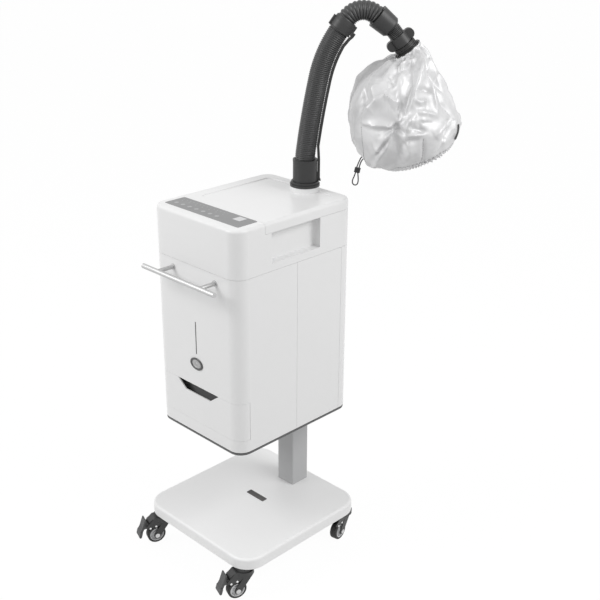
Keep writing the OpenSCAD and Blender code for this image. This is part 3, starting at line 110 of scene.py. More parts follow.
def arm_frame(place, lift=0.0):
    """The matrix that stands a piece on a place of the arm, its Z along the hose and its X outwards."""
    s, z, heading = place
    s, z = s + lift * math.sin(heading), z + lift * math.cos(heading)
    lean = Matrix.Rotation(heading, 4, "Y")
    return Matrix.Translation(in_arm(s, 0, z)) @ Matrix.Rotation(ARM_YAW, 4, "Z") @ lean


# Modelling helpers: points closer than this are one point
WELD = 0.01 * MM


def deselect():
    if bpy.context.object and bpy.context.object.mode != "OBJECT":
        bpy.ops.object.mode_set(mode="OBJECT")
    bpy.ops.object.select_all(action="DESELECT")


def start_edit(piece, mode="FACE"):
    """Opens a piece in edit mode with nothing selected."""
    deselect()
    bpy.context.view_layer.objects.active = piece
    piece.select_set(True)
    bpy.ops.object.mode_set(mode="EDIT")
    bpy.ops.mesh.select_mode(type=mode)
    bpy.ops.mesh.select_all(action="DESELECT")


def pick_faces(piece, test):
    """Selects the faces whose centre and normal pass the test."""
    shape = bmesh.from_edit_mesh(piece.data)
    for face in shape.faces:
        face.select_set(bool(test(face.calc_center_median(), face.normal)))
    bmesh.update_edit_mesh(piece.data)


def pick_edges(piece, test):
    """Selects the edges whose two ends pass the test."""
    shape = bmesh.from_edit_mesh(piece.data)
    for edge in shape.edges:
        edge.select_set(bool(test(edge.verts[0].co, edge.verts[1].co)))
    bmesh.update_edit_mesh(piece.data)


def inset_and_move(width, move):
    """Insets the selected faces and moves what is inside."""
    bpy.ops.mesh.inset(thickness=width, depth=0)
    bpy.ops.transform.translate(value=move)


def apply_all(piece):
    """Applies a piece's modifiers in their order."""
    deselect()
    bpy.context.view_layer.objects.active = piece
    piece.select_set(True)
    for modifier in list(piece.modifiers):
        bpy.ops.object.modifier_apply(modifier=modifier.name)


def settle(piece, place=None, angle=40):
    """Ends a piece: its place goes into its mesh, its normals point out and its soft edges are smooth."""
    deselect()
    bpy.context.view_layer.objects.active = piece
    piece.select_set(True)
    bpy.ops.object.transform_apply(location=True, rotation=True, scale=True)
    if place is not None:
        piece.data.transform(place)
    bpy.ops.object.mode_set(mode="EDIT")
    bpy.ops.mesh.select_all(action="SELECT")
    bpy.ops.mesh.remove_doubles(threshold=WELD)
    bpy.ops.mesh.normals_make_consistent(inside=False)
    bpy.ops.object.mode_set(mode="OBJECT")
    bpy.ops.object.shade_smooth_by_angle(angle=math.radians(angle))
    return piece


def add_modifier(piece, kind, **values):
    modifier = piece.modifiers.new(kind.title(), kind)
    for name, value in values.items():
        setattr(modifier, name, value)
    return modifier


def name_piece(piece, name, body, finish):
    """Gives a finished piece its name, body and finish."""
    piece.name = name
    piece.data.name = name
    piece.data.materials.clear()
    piece.data.materials.append(finish)
    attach(piece, body)
    return piece


# Finishes
COAT_ROUGHNESS = 0.08
STREAK_DEPTH = 0.00008
STRAND_SLANT = math.radians(35)


def new_finish(name, colour, roughness, metallic=0.0):
    """A material of one colour, and its shader."""
    material = bpy.data.materials.new(name)
    material.use_nodes = True
    shader = material.node_tree.nodes["Principled BSDF"]
    shader.inputs["Base Color"].default_value = (*colour, 1)
    shader.inputs["Roughness"].default_value = roughness
    shader.inputs["Metallic"].default_value = metallic
    return material, shader


def node(material, kind, **values):
    made = material.node_tree.nodes.new(kind)
    for name, value in values.items():
        setattr(made, name, value)
    return made


def wire(material, out, into):
    material.node_tree.links.new(out, into)


def coordinates(material, stretch=(1, 1, 1), source="Object"):
    """Object or UV coordinates, stretched along the axes."""
    place = node(material, "ShaderNodeTexCoord")
    mapping = node(material, "ShaderNodeMapping")
    mapping.inputs["Scale"].default_value = stretch
    wire(material, place.outputs[source], mapping.inputs["Vector"])
    return mapping.outputs["Vector"]


def noise_texture(material, vector, scale, detail=4.0, roughness=0.55, kind="FBM"):
    texture = node(material, "ShaderNodeTexNoise", noise_type=kind)
    texture.inputs["Scale"].default_value = scale
    texture.inputs["Detail"].default_value = detail
    texture.inputs["Roughness"].default_value = roughness
    wire(material, vector, texture.inputs["Vector"])
    return texture.outputs["Fac"]


def mottle(material, shader, vector, low, high, scale, detail=4.0):
    """Lets the base colour wander between two near tones."""
    ramp = node(material, "ShaderNodeValToRGB")
    ramp.color_ramp.elements[0].position = 0.35
    ramp.color_ramp.elements[1].position = 0.65
    ramp.color_ramp.elements[0].color = (*low, 1)
    ramp.color_ramp.elements[1].color = (*high, 1)
    wire(material, noise_texture(material, vector, scale, detail), ramp.inputs["Fac"])
    wire(material, ramp.outputs["Color"], shader.inputs["Base Color"])


def vary_roughness(material, shader, vector, low, high, scale):
    """Makes the gloss a little uneven."""
    spread = node(material, "ShaderNodeMapRange")
    spread.inputs["From Min"].default_value = 0.3
    spread.inputs["From Max"].default_value = 0.7
    spread.inputs["To Min"].default_value = low
    spread.inputs["To Max"].default_value = high
    wire(material, noise_texture(material, vector, scale), spread.inputs["Value"])
    wire(material, spread.outputs["Result"], shader.inputs["Roughness"])


def add_bump(material, shader, height, strength, distance):
    """Lays one more relief over those that the shader already has."""
    bump = node(material, "ShaderNodeBump")
    bump.inputs["Strength"].default_value = strength
    bump.inputs["Distance"].default_value = distance
    wire(material, height, bump.inputs["Height"])
    normal = shader.inputs["Normal"]
    if normal.is_linked:
        wire(material, normal.links[0].from_socket, bump.inputs["Normal"])
    wire(material, bump.outputs["Normal"], normal)


def moulded_finish(name, tone, tint, roughness, grain, depth, coat=0.0, spread=0.02, relief=0.25):
    """Moulded plastic or paint: a tone that wanders a little, uneven gloss and a fine grain."""
    colour = tuple(tone * c for c in tint)
    material, shader = new_finish(name, colour, roughness)
    vector = coordinates(material)
    low, high = (tuple(share * c for c in colour) for share in (1 - spread, 1 + 0.6 * spread))
    mottle(material, shader, vector, low, high, scale=5, detail=3)
    vary_roughness(material, shader, vector, 0.9 * roughness, 1.12 * roughness, scale=18)
    add_bump(material, shader, noise_texture(material, vector, grain, detail=3), relief, depth)
    shader.inputs["Coat Weight"].default_value = coat
    shader.inputs["Coat Roughness"].default_value = COAT_ROUGHNESS
    return material


def brushed_finish(name, tone, roughness, stretch):
    """Brushed metal: fine streaks along the axis that is stretched least."""
    material, shader = new_finish(name, (tone, tone, tone * 0.99), roughness, metallic=1.0)
    vector = coordinates(material, stretch)
    mottle(material, shader, vector, (tone * 0.86,) * 3, (tone * 1.08,) * 3, scale=6, detail=6)
    vary_roughness(material, shader, vector, 0.75 * roughness, 1.35 * roughness, scale=9)
    add_bump(material, shader, noise_texture(material, vector, scale=12, detail=5), 0.4, STREAK_DEPTH)
    return material


WHITE = (1.0, 1.0, 1.0)
COOL = (0.985, 0.99, 1.0)
WARM = (1.0, 0.93, 0.9)
CLEAR = (0.94, 0.99, 1.0)
GREEN = (0.25, 1.0, 0.5)
# Moulded: name, tone, tint, roughness, scale and depth of the grain. Brushed: name, tone, roughness, stretch
finishes = {
    "white_shell": moulded_finish("glossy_white_moulding", 0.80, WHITE, 0.34, 900, 0.00003,
                                  coat=0.05, spread=0.006, relief=0.06),
    "white_base": moulded_finish("satin_white_plate", 0.86, WHITE, 0.42, 1300, 0.00006,
                                 spread=0.006, relief=0.12),
    "column_paint": moulded_finish("silver_grey_paint", 0.47, COOL, 0.42, 1400, 0.00006,
                                   spread=0.01, relief=0.15),
    "steel": brushed_finish("satin_bar", 0.56, 0.42, (3, 240, 240)),
    "zinc": brushed_finish("zinc_plate", 0.62, 0.34, (40, 40, 40)),
    "caster_black": moulded_finish("black_nylon", 0.038, COOL, 0.40, 700, 0.00012),
    "pedal_grey": moulded_finish("grey_nylon", 0.066, COOL, 0.48, 800, 0.00012),
    "hub_grey": moulded_finish("pale_wheel_centre", 0.70, COOL, 0.36, 500, 0.00008),
    "tread": moulded_finish("dark_tread", 0.026, WHITE, 0.62, 900, 0.00015),
    # The bottom tray is grey, darkened further as painted shade of the shadow gap along its top
    "tray_grey": moulded_finish("grey_tray_with_painted_gap_shade", 0.11, COOL, 0.5, 900, 0.00012),
    "panel_film": moulded_finish("membrane_film", 0.21, COOL, 0.34, 900, 0.00003, spread=0.05, relief=0.1),
    "window": moulded_finish("pale_display", 0.56, COOL, 0.12, 300, 0.00002, coat=0.5),
    "level": moulded_finish("dark_level_window", 0.07, COOL, 0.30, 300, 0.00002),
    "tank_clear": moulded_finish("pale_tank", 0.62, CLEAR, 0.22, 420, 0.00005),
    "hose_black": moulded_finish("black_hose", 0.046, COOL, 0.40, 900, 0.00012),
    "cuff_black": moulded_finish("black_cuff", 0.028, COOL, 0.44, 650, 0.00014),
    "strap_black": moulded_finish("black_strip", 0.022, WHITE, 0.5, 700, 0.00010),
    "inner_metal": brushed_finish("folded_sheet", 0.62, 0.38, (60, 60, 6)),
    "inner_plastic": moulded_finish("inner_housing", 0.22, COOL, 0.5, 700, 0.00012),
    "badge_dark": moulded_finish("badge_rim", 0.060, COOL, 0.30, 700, 0.00004, coat=0.2),
    "badge_pale": brushed_finish("badge_face", 0.42, 0.32, (30, 30, 30)),
    "label_dark": moulded_finish("dark_plate", 0.045, WARM, 0.38, 900, 0.00005, coat=0.1),
    "notch_dark": moulded_finish("dark_pull_lining", 0.19, COOL, 0.5, 800, 0.00008),
    "chrome": brushed_finish("bright_rivet", 0.78, 0.18, (60, 60, 60)),
    "key_mark": moulded_finish("pale_key_print", 0.38, COOL, 0.36, 900, 0.00003),
    "thread": moulded_finish("grey_thread", 0.16, COOL, 0.7, 900, 0.00005),
    "rubber": moulded_finish("black_elastic", 0.020, WHITE, 0.6, 700, 0.00010),
    "board": moulded_finish("green_board", 0.10, GREEN, 0.4, 500, 0.00008),
}


def cord_finish():
    """Braided black cord: two sets of slanting strands that follow the cord's own UV map."""
    material, shader = new_finish("black_braid", (0.024, 0.024, 0.026), 0.62)
    heights = []
    for slant in (1, -1):
        mapping = node(material, "ShaderNodeMapping")
        mapping.inputs["Rotation"].default_value = (0, 0, slant * STRAND_SLANT)
        place = node(material, "ShaderNodeTexCoord")
        wire(material, place.outputs["UV"], mapping.inputs["Vector"])
        wave = node(material, "ShaderNodeTexWave")
        wave.inputs["Scale"].default_value = 420
        wave.inputs["Distortion"].default_value = 0.4
        wire(material, mapping.outputs["Vector"], wave.inputs["Vector"])
        heights.append(wave.outputs["Fac"])
    both = node(material, "ShaderNodeMath", operation="MAXIMUM")
    wire(material, heights[0], both.inputs[0])
    wire(material, heights[1], both.inputs[1])
    add_bump(material, shader, both.outputs["Value"], strength=0.6, distance=0.0003)
    shader.inputs["Sheen Weight"].default_value = 0.3
    return material


def silver_cloth_finish():
    """Silver-coated nylon: a satin metallic face with a fine square weave and small sharp crinkles."""
    material, shader = new_finish("silver_nylon", (0.66, 0.66, 0.665), 0.46, metallic=0.22)
    vector = coordinates(material, source="UV")
    mottle(material, shader, vector, (0.60, 0.60, 0.605), (0.72, 0.72, 0.725), scale=16, detail=5)
    vary_roughness(material, shader, vector, 0.40, 0.54, scale=60)
    shader.inputs["Sheen Weight"].default_value = 0.25
    crinkle = noise_texture(material, vector, scale=34, detail=4, roughness=0.5, kind="RIDGED_MULTIFRACTAL")
    add_bump(material, shader, crinkle, strength=0.8, distance=0.0022)
    soft = noise_texture(material, vector, scale=70, detail=3)
    add_bump(material, shader, soft, strength=0.18, distance=0.0005)
    weave = node(material, "ShaderNodeTexBrick")
    weave.inputs["Scale"].default_value = 900
    wire(material, vector, weave.inputs["Vector"])
    add_bump(material, shader, weave.outputs["Fac"], strength=0.10, distance=0.00003)
    return material


finishes["cord_black"] = cord_finish()
finishes["silver_cloth"] = silver_cloth_finish()


def dress_nodes():
    """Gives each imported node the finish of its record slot."""
    slots = {row["node"]: row["material_slot"] for row in frame["record"]["subparts"]}
    for name, piece in frame["nodes"].items():
        for place in piece.material_slots:
            place.material = finishes[slots[name]]


# Camera, light and floor

def set_camera():
    """The photograph's viewpoint, its picture level turned by a small roll."""
    az, el, roll = CAMERA_AZIMUTH, CAMERA_HEIGHT_ANGLE, CAMERA_ROLL
    back = Vector((math.sin(az) * math.cos(el), -math.cos(az) * math.cos(el), math.sin(el)))
    level = Vector((math.cos(az), math.sin(az), 0))
    up = back.cross(level)
    right = level * math.cos(roll) + up * math.sin(roll)
    top = -level * math.sin(roll) + up * math.cos(roll)
    data = bpy.data.cameras.new("camera")
    data.lens = LENS
    data.sensor_width = SENSOR_WIDTH
    camera = bpy.data.objects.new("camera", data)
    turn = Matrix((right, top, back)).transposed().to_4x4()
    camera.matrix_world = Matrix.Translation(CAMERA_TARGET + back * CAMERA_DISTANCE) @ turn
    bpy.context.scene.collection.objects.link(camera)
    bpy.context.scene.camera = camera


def seen_directly(owner):
    """1 where a ray comes from the camera, a mirror or a clear thing."""
    path = node(owner, "ShaderNodeLightPath")
    first = node(owner, "ShaderNodeMath", operation="MAXIMUM")
    both = node(owner, "ShaderNodeMath", operation="MAXIMUM")
    wire(owner, path.outputs["Is Camera Ray"], first.inputs[0])
    wire(owner, path.outputs["Is Glossy Ray"], first.inputs[1])
    wire(owner, first.outputs["Value"], both.inputs[0])
    wire(owner, path.outputs["Is Transmission Ray"], both.inputs[1])
    return both.outputs["Value"]


def set_room():
    """A white room as the camera sees it, dimmer for the light that it throws."""
    world = bpy.data.worlds.new("room")
    bpy.context.scene.world = world
    world.use_nodes = True
    shader = world.node_tree.nodes["Background"]
    shader.inputs["Color"].default_value = (1, 1, 1, 1)
    strength = node(world, "ShaderNodeMapRange")
    strength.inputs["To Min"].default_value = ROOM_STRENGTH
    strength.inputs["To Max"].default_value = 1.0
    wire(world, seen_directly(world), strength.inputs["Value"])
    wire(world, strength.outputs["Result"], shader.inputs["Strength"])


def set_lamp(name, place, aim, power, size):
    """A square soft lamp that faces a point."""
    data = bpy.data.lights.new(name, "AREA")
    data.energy = power
    data.size = size
    lamp = bpy.data.objects.new(name, data)
    lamp.location = place
    lamp.rotation_euler = (aim - place).to_track_quat("-Z", "Y").to_euler()
    bpy.context.scene.collection.objects.link(lamp)


def set_floor():
    """A white floor that keeps a faint shadow."""
    deselect()
    bpy.ops.mesh.primitive_plane_add(size=FLOOR_SIZE, location=(0, 0, -FLOOR_DROP))
    floor = bpy.context.object
    floor.name = "floor"
    material, shader = new_finish("white_floor", (FLOOR_TONE,) * 3, 0.9)
    glow = node(material, "ShaderNodeEmission")
    glow.inputs["Strength"].default_value = FLOOR_WHITE
    mix = node(material, "ShaderNodeMixShader")
    share = node(material, "ShaderNodeMath", operation="MULTIPLY")
    share.inputs[1].default_value = FLOOR_GLOW
    wire(material, seen_directly(material), share.inputs[0])
    wire(material, share.outputs["Value"], mix.inputs["Fac"])
    wire(material, shader.outputs["BSDF"], mix.inputs[1])
    wire(material, glow.outputs["Emission"], mix.inputs[2])
    wire(material, mix.outputs["Shader"], material.node_tree.nodes["Material Output"].inputs["Surface"])
    floor.data.materials.append(material)


# Cords

def tube(name, points, radius, sides=14, closed_ends=True):
    """A round tube through points, with UVs in metres: along it and round it."""
    points = [Vector(p) for p in points]
    shape = bmesh.new()
    uv = shape.loops.layers.uv.new("UVMap")
    directions = [(points[min(i + 1, len(points) - 1)] - points[max(i - 1, 0)]).normalized()
                  for i in range(len(points))]
    side = directions[0].orthogonal().normalized()
    rings, runs, run = [], [], 0.0
    for i, (point, direction) in enumerate(zip(points, directions)):
        side = (side - direction * side.dot(direction)).normalized()
        across = direction.cross(side)
        rings.append([shape.verts.new(point + radius * (side * math.cos(a) + across * math.sin(a)))
                      for a in (2 * math.pi * k / sides for k in range(sides))])
        run += (points[i] - points[i - 1]).length if i else 0.0
        runs.append(run)
    for i in range(len(rings) - 1):
        for k in range(sides):
            m = (k + 1) % sides
            face = shape.faces.new((rings[i][k], rings[i][m], rings[i + 1][m], rings[i + 1][k]))
            face.smooth = True
            turns = (k, k + 1, k + 1, k)
            for loop, row, turn in zip(face.loops, (i, i, i + 1, i + 1), turns):
                loop[uv].uv = (runs[row], turn * 2 * math.pi * radius / sides)
    if closed_ends:
        shape.faces.new(list(reversed(rings[0])))
        shape.faces.new(rings[-1])
    shape.normal_update()
    mesh = bpy.data.meshes.new(name)
    shape.to_mesh(mesh)
    shape.free()
    piece = bpy.data.objects.new(name, mesh)
    bpy.context.scene.collection.objects.link(piece)
    return piece


def between(a, b, c, d, t):
    """A place between b and c, t from 0 to 1, on a smooth curve that also passes a and d."""
    return 0.5 * (2 * b + (c - a) * t + (2 * a - 5 * b + 4 * c - d) * t * t
                  + (3 * b - a - 3 * c + d) * t ** 3)


def smooth_path(points, steps):
    """Points on one smooth curve through the given ones."""
    padded = [2 * points[0] - points[1], *points, 2 * points[-1] - points[-2]]
    path = [between(*four, i / steps) for four in zip(padded, padded[1:], padded[2:], padded[3:])
            for i in range(steps)]
    return [*path, points[-1]]


COLLAR = arm_at(7, 0.62)
NECK_LENGTH = 39.3 * MM
BONNET_TOP = (COLLAR[0] + NECK_LENGTH * math.sin(COLLAR[2]), COLLAR[1] + NECK_LENGTH * math.cos(COLLAR[2]))
# Drawcord: its points in the arm's plane, in millimetres from the bonnet's hem line
CORD = [(-89, -3.5), (-92, -6), (-96, -11.5), (-99.5, -19), (-102.5, -26.5), (-105, -34), (-106.5, -41),
        (-108, -48), (-111, -57), (-114.5, -66), (-114.5, -73.5), (-110, -78.5), (-104, -77.5), (-101, -71),
        (-101, -60), (-102, -48), (-100.5, -41), (-99, -34), (-97, -26), (-94.5, -19.5), (-91, -14.5),
        (-87, -10.5), (-83.5, -8)]
CORD_IN = 5.5 * MM
CORD_DROP = 249 * MM
CORD_RADIUS = 1.5 * MM


def make_drawcord():
    """The cord that hangs from the hem, down one strand, round its loop and up the other."""
    start, level = BONNET_TOP[0] - CORD_IN, BONNET_TOP[1] - CORD_DROP
    path = smooth_path([in_arm(start + s * MM, 0, level + z * MM) for s, z in CORD], 5)
    piece = tube("drawcord_braid", path, CORD_RADIUS)
    name_piece(piece, "drawcord_braid", "hood", finishes["cord_black"])
    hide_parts("drawcord")


# Ribbed hoses: steps on each stretch, least distance between two of them, and the wall
PATH_STEPS = 12
PATH_GAP = 0.4 * MM
HOSE_WALL = 1.2 * MM


def hose_path(places):
    """Points along the listed stretches of the arm: (stretch, from, to)."""
    kept = []
    for number, first, last in places:
        for i in range(PATH_STEPS + 1):
            s, z, _ = arm_at(number, first + (last - first) * i / PATH_STEPS)
            point = in_arm(s, 0, z)
            if not kept or (point - kept[-1]).length > PATH_GAP:
                kept.append(point)
    return kept


def bend_to(piece, points):
    """Bends a piece that stands along Z to a path."""
    curve = bpy.data.curves.new("path", "CURVE")
    curve.dimensions = "3D"
    curve.twist_mode = "MINIMUM"
    spline = curve.splines.new("POLY")
    spline.points.add(len(points) - 1)
    for place, point in zip(spline.points, points):
        place.co = (*point, 1)
    path = bpy.data.objects.new("path", curve)
    bpy.context.scene.collection.objects.link(path)
    add_modifier(piece, "CURVE", object=path, deform_axis="POS_Z")
    apply_all(piece)
    bpy.data.objects.remove(path)


def ribbed_hose(name, replaced, places, ribs, radius, depth, crest, rows, sides=44):
    """One rib pulled up from a ring, repeated along the hose and bent to the arm."""
    points = hose_path(places)
    length = sum((b - a).length for a, b in zip(points, points[1:]))
    pitch = length / ribs
    deselect()
    bpy.ops.mesh.primitive_circle_add(vertices=sides, radius=radius - depth, location=(0, 0, 0))
    hose = bpy.context.object
    start_edit(hose, "EDGE")
    bpy.ops.mesh.select_all(action="SELECT")
    before = radius - depth
    for row in range(1, rows + 1):
        share = 0.5 - 0.5 * math.cos(2 * math.pi * row / rows)
        here = radius - depth + depth * share ** crest
        bpy.ops.mesh.extrude_region_move(TRANSFORM_OT_translate={"value": (0, 0, pitch / rows)})
        bpy.ops.transform.resize(value=(here / before, here / before, 1), center_override=(0, 0, 0))
        before = here
    bpy.ops.object.mode_set(mode="OBJECT")
    add_modifier(hose, "ARRAY", count=ribs, use_relative_offset=False, use_constant_offset=True,
                 constant_offset_displace=(0, 0, pitch), use_merge_vertices=True, merge_threshold=0.00002)
    apply_all(hose)
    bend_to(hose, points)
    settle(hose, angle=80)
    add_modifier(hose, "SOLIDIFY", thickness=HOSE_WALL, offset=-1)
    apply_all(hose)
    name_piece(hose, name, "arm", finishes["hose_black"])
    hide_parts(replaced)


def make_hoses():
    """The arm's long hose, the coarser bend over its top and the short neck."""
    ribbed_hose("long_hose", "arm_hose", [(0, 0, 1), (1, 0, 1), (2, 0, 1), (3, 0, 1), (4, 0, 0.42)],
                ribs=80, radius=24.5 * MM, depth=1.9 * MM, crest=0.8, rows=6)
    ribbed_hose("curved_hose", "bend_hose", [(4, 0.62, 1), (5, 0, 1), (6, 0, 0.25)],
                ribs=13, radius=23 * MM, depth=2.6 * MM, crest=0.5, rows=14)
    ribbed_hose("short_hose", "neck_hose", [(6, 0.78, 1), (7, 0.1, 0.7)],
                ribs=9, radius=19 * MM, depth=1.9 * MM, crest=0.7, rows=8, sides=40)


# Bonnet: each ring's end towards the arm, its end away from the arm, and half its depth, in millimetres
RINGS = [((-24.4, -19.8), (24.4, 19.8), 31.5), ((-49, -25), (44, 5), 52), ((-86, -48), (61, -21), 88),
         ((-115, -74), (79, -49), 113), ((-137, -121), (101, -92), 136), ((-139, -165), (122, -131), 148),
         ((-128, -209), (136, -150), 148), ((-106, -245), (139, -170), 142), ((-81, -265), (131, -189), 128),
         ((-41, -277), (117, -208), 112)]
LAST_RING = len(RINGS) - 1
# The cloth's grid of points, its wall, and the girth and drop that its weave is laid out on, in metres
CLOTH_COLUMNS = 300
CLOTH_ROWS = 126
CLOTH_WALL = 0.8 * MM
CLOTH_GIRTH = 0.86
CLOTH_DROP = 0.36
# Pleats under the neck, broad waves, ruffles along the hem and the small facets all over, with their heights
PLEATS, PLEAT_HEIGHT = 11, 0.0060
WAVES, WAVE_HEIGHT = 5, 0.0030
RUFFLES, RUFFLE_HEIGHT = 68, 0.0034
FACET_SCALE, FACET_HEIGHT = 15, 1.7 * MM
# The angles between which the elastic gathers the hem, and the ring at which its casing is sewn
GATHERED = (232, 322)
CASING_RING = 8.36
# Stray creases: how many, and the seed of their places
STRAYS, STRAY_SEED = 150, 11
# Cloth solver: the cloth starts 4.5 % too large, and no point may end further away than the cap
CLOTH = {"quality": 5, "mass": 0.15, "tension_stiffness": 18, "compression_stiffness": 14,
         "shear_stiffness": 6, "bending_stiffness": 0.35, "pin_stiffness": 1.0, "shrink_min": -0.045,
         "vertex_group_mass": "held"}
CLOTH_FRAMES = 16
CLOTH_CAP = 7 * MM
PINNED_ROWS = 3
LOOSE_HOLD = 0.08


def ring_row(k):
    """Centre, half width and half depth of the bonnet at ring k, which may lie between two rings."""
    i = min(int(k), LAST_RING - 1)
    four = [RINGS[min(max(j, 0), LAST_RING)] for j in range(i - 1, i + 3)]
    ring = between(*(np.array([*near, *away, depth], float) for near, away, depth in four), k - i)
    near, away, depth = ring[0:2], ring[2:4], ring[4]
    return (near + away) / 2 * MM, (away - near) / 2 * MM, depth * MM


def cloth_point(k, angle):
    """A point (s, side, z) of the bonnet's plain form at ring k and angle, in degrees."""
    centre, half, depth = ring_row(k)
    a = math.radians(angle)
    return np.array([BONNET_TOP[0] + centre[0] + half[0] * math.cos(a), depth * math.sin(a),
                     BONNET_TOP[1] + centre[1] + half[1] * math.cos(a)])


def plain_bonnet():
    """The bonnet's smooth form as rows of points, from the neck down to the hem."""
    rows = []
    for i in range(CLOTH_ROWS):
        k = LAST_RING * i / (CLOTH_ROWS - 1)
        rows.append([cloth_point(k, 360 * j / CLOTH_COLUMNS) for j in range(CLOTH_COLUMNS)])
    return np.array(rows)


def row_normals(grid):
    """Outward directions of a grid of points that closes on itself sideways."""
    across = np.roll(grid, -1, 1) - np.roll(grid, 1, 1)
    down = np.gradient(grid, axis=0)
    normals = np.cross(down, across)
    normals /= np.linalg.norm(normals, axis=2, keepdims=True) + 1e-12
    middle = grid.mean(axis=(0, 1))
    flip = np.sign(((grid - middle) * normals).sum(axis=2).mean())
    return normals * flip


def distance_to_line(grid, line):
    """Distance of each point from a line of points, and how far along it the nearest place lies, 0 to 1."""
    best = np.full(grid.shape[:2], 1e9)
    where = np.zeros(grid.shape[:2])
    for i, (a, b) in enumerate(zip(line, line[1:])):
        run = b - a
        t = np.clip(((grid - a) @ run) / (run @ run), 0, 1)
        d = np.linalg.norm(grid - (a + t[..., None] * run), axis=2)
        closer = d < best
        best = np.where(closer, d, best)
        where = np.where(closer, (i + t) / (len(line) - 1), where)
    return best, where


# Folds on the bonnet: height in mm (below 0 is a valley), half width in mm, then places (ring, angle)
FOLDS = [
    (10, 8, (0.90, 305), (1.75, 300), (2.50, 291), (3.30, 282), (3.85, 276), (4.50, 262)),
    (-11, 9, (1.55, 282), (2.80, 281), (3.55, 273), (4.15, 268), (4.60, 262)),
    (-9, 16, (4.75, 253), (4.90, 254), (5.05, 255)),
    (7, 6, (4.85, 253), (4.80, 243), (4.75, 231), (4.70, 218)),
    (-6, 7, (5.00, 251), (5.00, 237), (4.85, 218)),
    (9, 7, (4.45, 219), (3.95, 227), (3.50, 238), (3.30, 243), (3.50, 252), (3.65, 263)),
    (-6, 8, (3.15, 242), (3.40, 253), (3.60, 263), (4.10, 267)),
    (-6, 6, (4.90, 254), (4.45, 259), (4.00, 262), (3.65, 264)),
    (10, 7, (4.90, 254), (5.50, 243), (6.20, 230), (7.65, 192)),
    (-8, 6, (5.15, 252), (5.80, 240), (6.40, 228), (7.45, 204)),
    (9, 6, (5.45, 249), (6.10, 241), (6.65, 229), (8.00, 192)),
    (-6, 6, (5.15, 253), (5.80, 253), (6.70, 250), (8.50, 229)),
    (6, 8, (5.60, 262), (6.60, 262), (7.80, 248)),
    (-7, 6, (4.90, 256), (5.20, 260), (5.35, 265)),
    (8, 5, (5.35, 265), (4.85, 268), (4.50, 274), (4.30, 279)),
    (5, 4, (3.70, 281), (3.85, 286), (3.80, 295)),
    (-5, 4, (3.30, 283), (3.30, 296), (3.55, 305)),
    (5, 4, (4.25, 281), (4.40, 291), (4.65, 303)),
    (-5, 4, (4.55, 276), (4.80, 285), (4.90, 294)),
    (6, 5, (4.65, 270), (4.65, 279), (4.85, 293)),
    (-5, 4, (4.95, 270), (5.20, 278), (5.45, 282)),
    (6, 4, (5.45, 265), (5.45, 272), (5.60, 281)),
    (-5, 5, (6.20, 253), (5.80, 264), (5.85, 275)),
    (-3, 3, (5.95, 279), (6.50, 276), (7.20, 273), (8.40, 267)),
    (-9, 6, (5.25, 325), (5.85, 313), (6.40, 304), (7.85, 294)),
    (8, 7, (5.25, 314), (5.65, 299), (6.00, 290)),
    (6, 6, (1.45, 239), (1.35, 262), (1.00, 285)),
    (-6, 6, (1.80, 247), (1.65, 264), (1.25, 272)),
    (6, 7, (2.40, 217), (3.15, 226), (3.60, 234)),
    (-6, 6, (3.15, 206), (3.50, 215), (3.85, 218)),
    (-5, 6, (2.20, 236), (2.60, 249), (2.85, 252)),
    (7, 7, (3.00, 310), (3.70, 308), (4.60, 305)),
    (-6, 7, (2.15, 316), (3.10, 328), (3.75, 333)),
    (5, 8, (2.00, 335), (3.60, 345), (5.20, 340)),
    (-5, 7, (2.60, 325), (4.20, 322), (5.00, 330)),
    (6, 6, (7.70, 206), (7.00, 225), (7.90, 223)),
    (8, 8, (0.90, 120), (2.20, 112), (3.60, 100), (4.80, 92)),
    (-8, 8, (1.10, 100), (2.60, 90), (4.10, 84)),
    (7, 7, (4.80, 92), (5.80, 104), (7.60, 120)),
    (-7, 7, (4.70, 90), (5.90, 84), (7.80, 70)),
    (7, 7, (4.85, 90), (4.70, 70), (4.40, 50)),
    (6, 7, (1.20, 60), (2.80, 52), (4.40, 50)),
    (-6, 7, (1.30, 40), (3.00, 30), (4.60, 28)),
    (7, 8, (1.40, 20), (3.40, 12), (5.60, 16), (7.60, 10)),
    (7, 7, (1.20, 150), (2.90, 158), (4.60, 150)),
    (-6, 7, (3.00, 140), (4.60, 132), (6.40, 140)),
    (7, 8, (5.00, 150), (6.40, 160), (8.00, 170)),
    (6, 6, (5.20, 50), (6.50, 44), (8.00, 30)),
]


def ring_and_angle(shape):
    """Ring numbers down the cloth and angles round it, in radians, as a column and a row."""
    return (np.linspace(0, LAST_RING, shape[0])[:, None],
            np.radians(np.linspace(0, 360, shape[1], endpoint=False))[None, :])


def pleats(k, a):
    """Uneven pleats under the neck and a few broad waves, in metres."""
    uneven = PLEATS * a + 1.3 * np.sin(3 * a) + 0.8 * np.sin(2 * a + 1)
    neck = PLEAT_HEIGHT * np.exp(-((k - 1.3) / 1.3) ** 2) * np.cos(uneven)
    return neck + WAVE_HEIGHT * np.exp(-((k - 5) / 2.2) ** 2) * np.cos(WAVES * a + math.radians(40))


def hem(k, a):
    """The casing along the hem and its small ruffles, closest where the elastic pulls, in metres."""
    middle, half = math.radians(sum(GATHERED) / 2), math.radians(GATHERED[1] - GATHERED[0]) / 2
    near = np.clip(1.3 - np.abs((a - middle + math.pi) % (2 * math.pi) - math.pi) / half, 0.16, 1)
    rim = np.clip((k - 8.15) / 0.45, 0, 1)
    ruffle = RUFFLE_HEIGHT * rim * near * np.cos(RUFFLES * a + 2.2 * np.sin(7 * a))
    elastic = 0.0015 * np.exp(-((k - 8.72) / 0.16) ** 2)
    return ruffle + elastic - 0.0018 * np.exp(-((k - CASING_RING) / 0.07) ** 2)


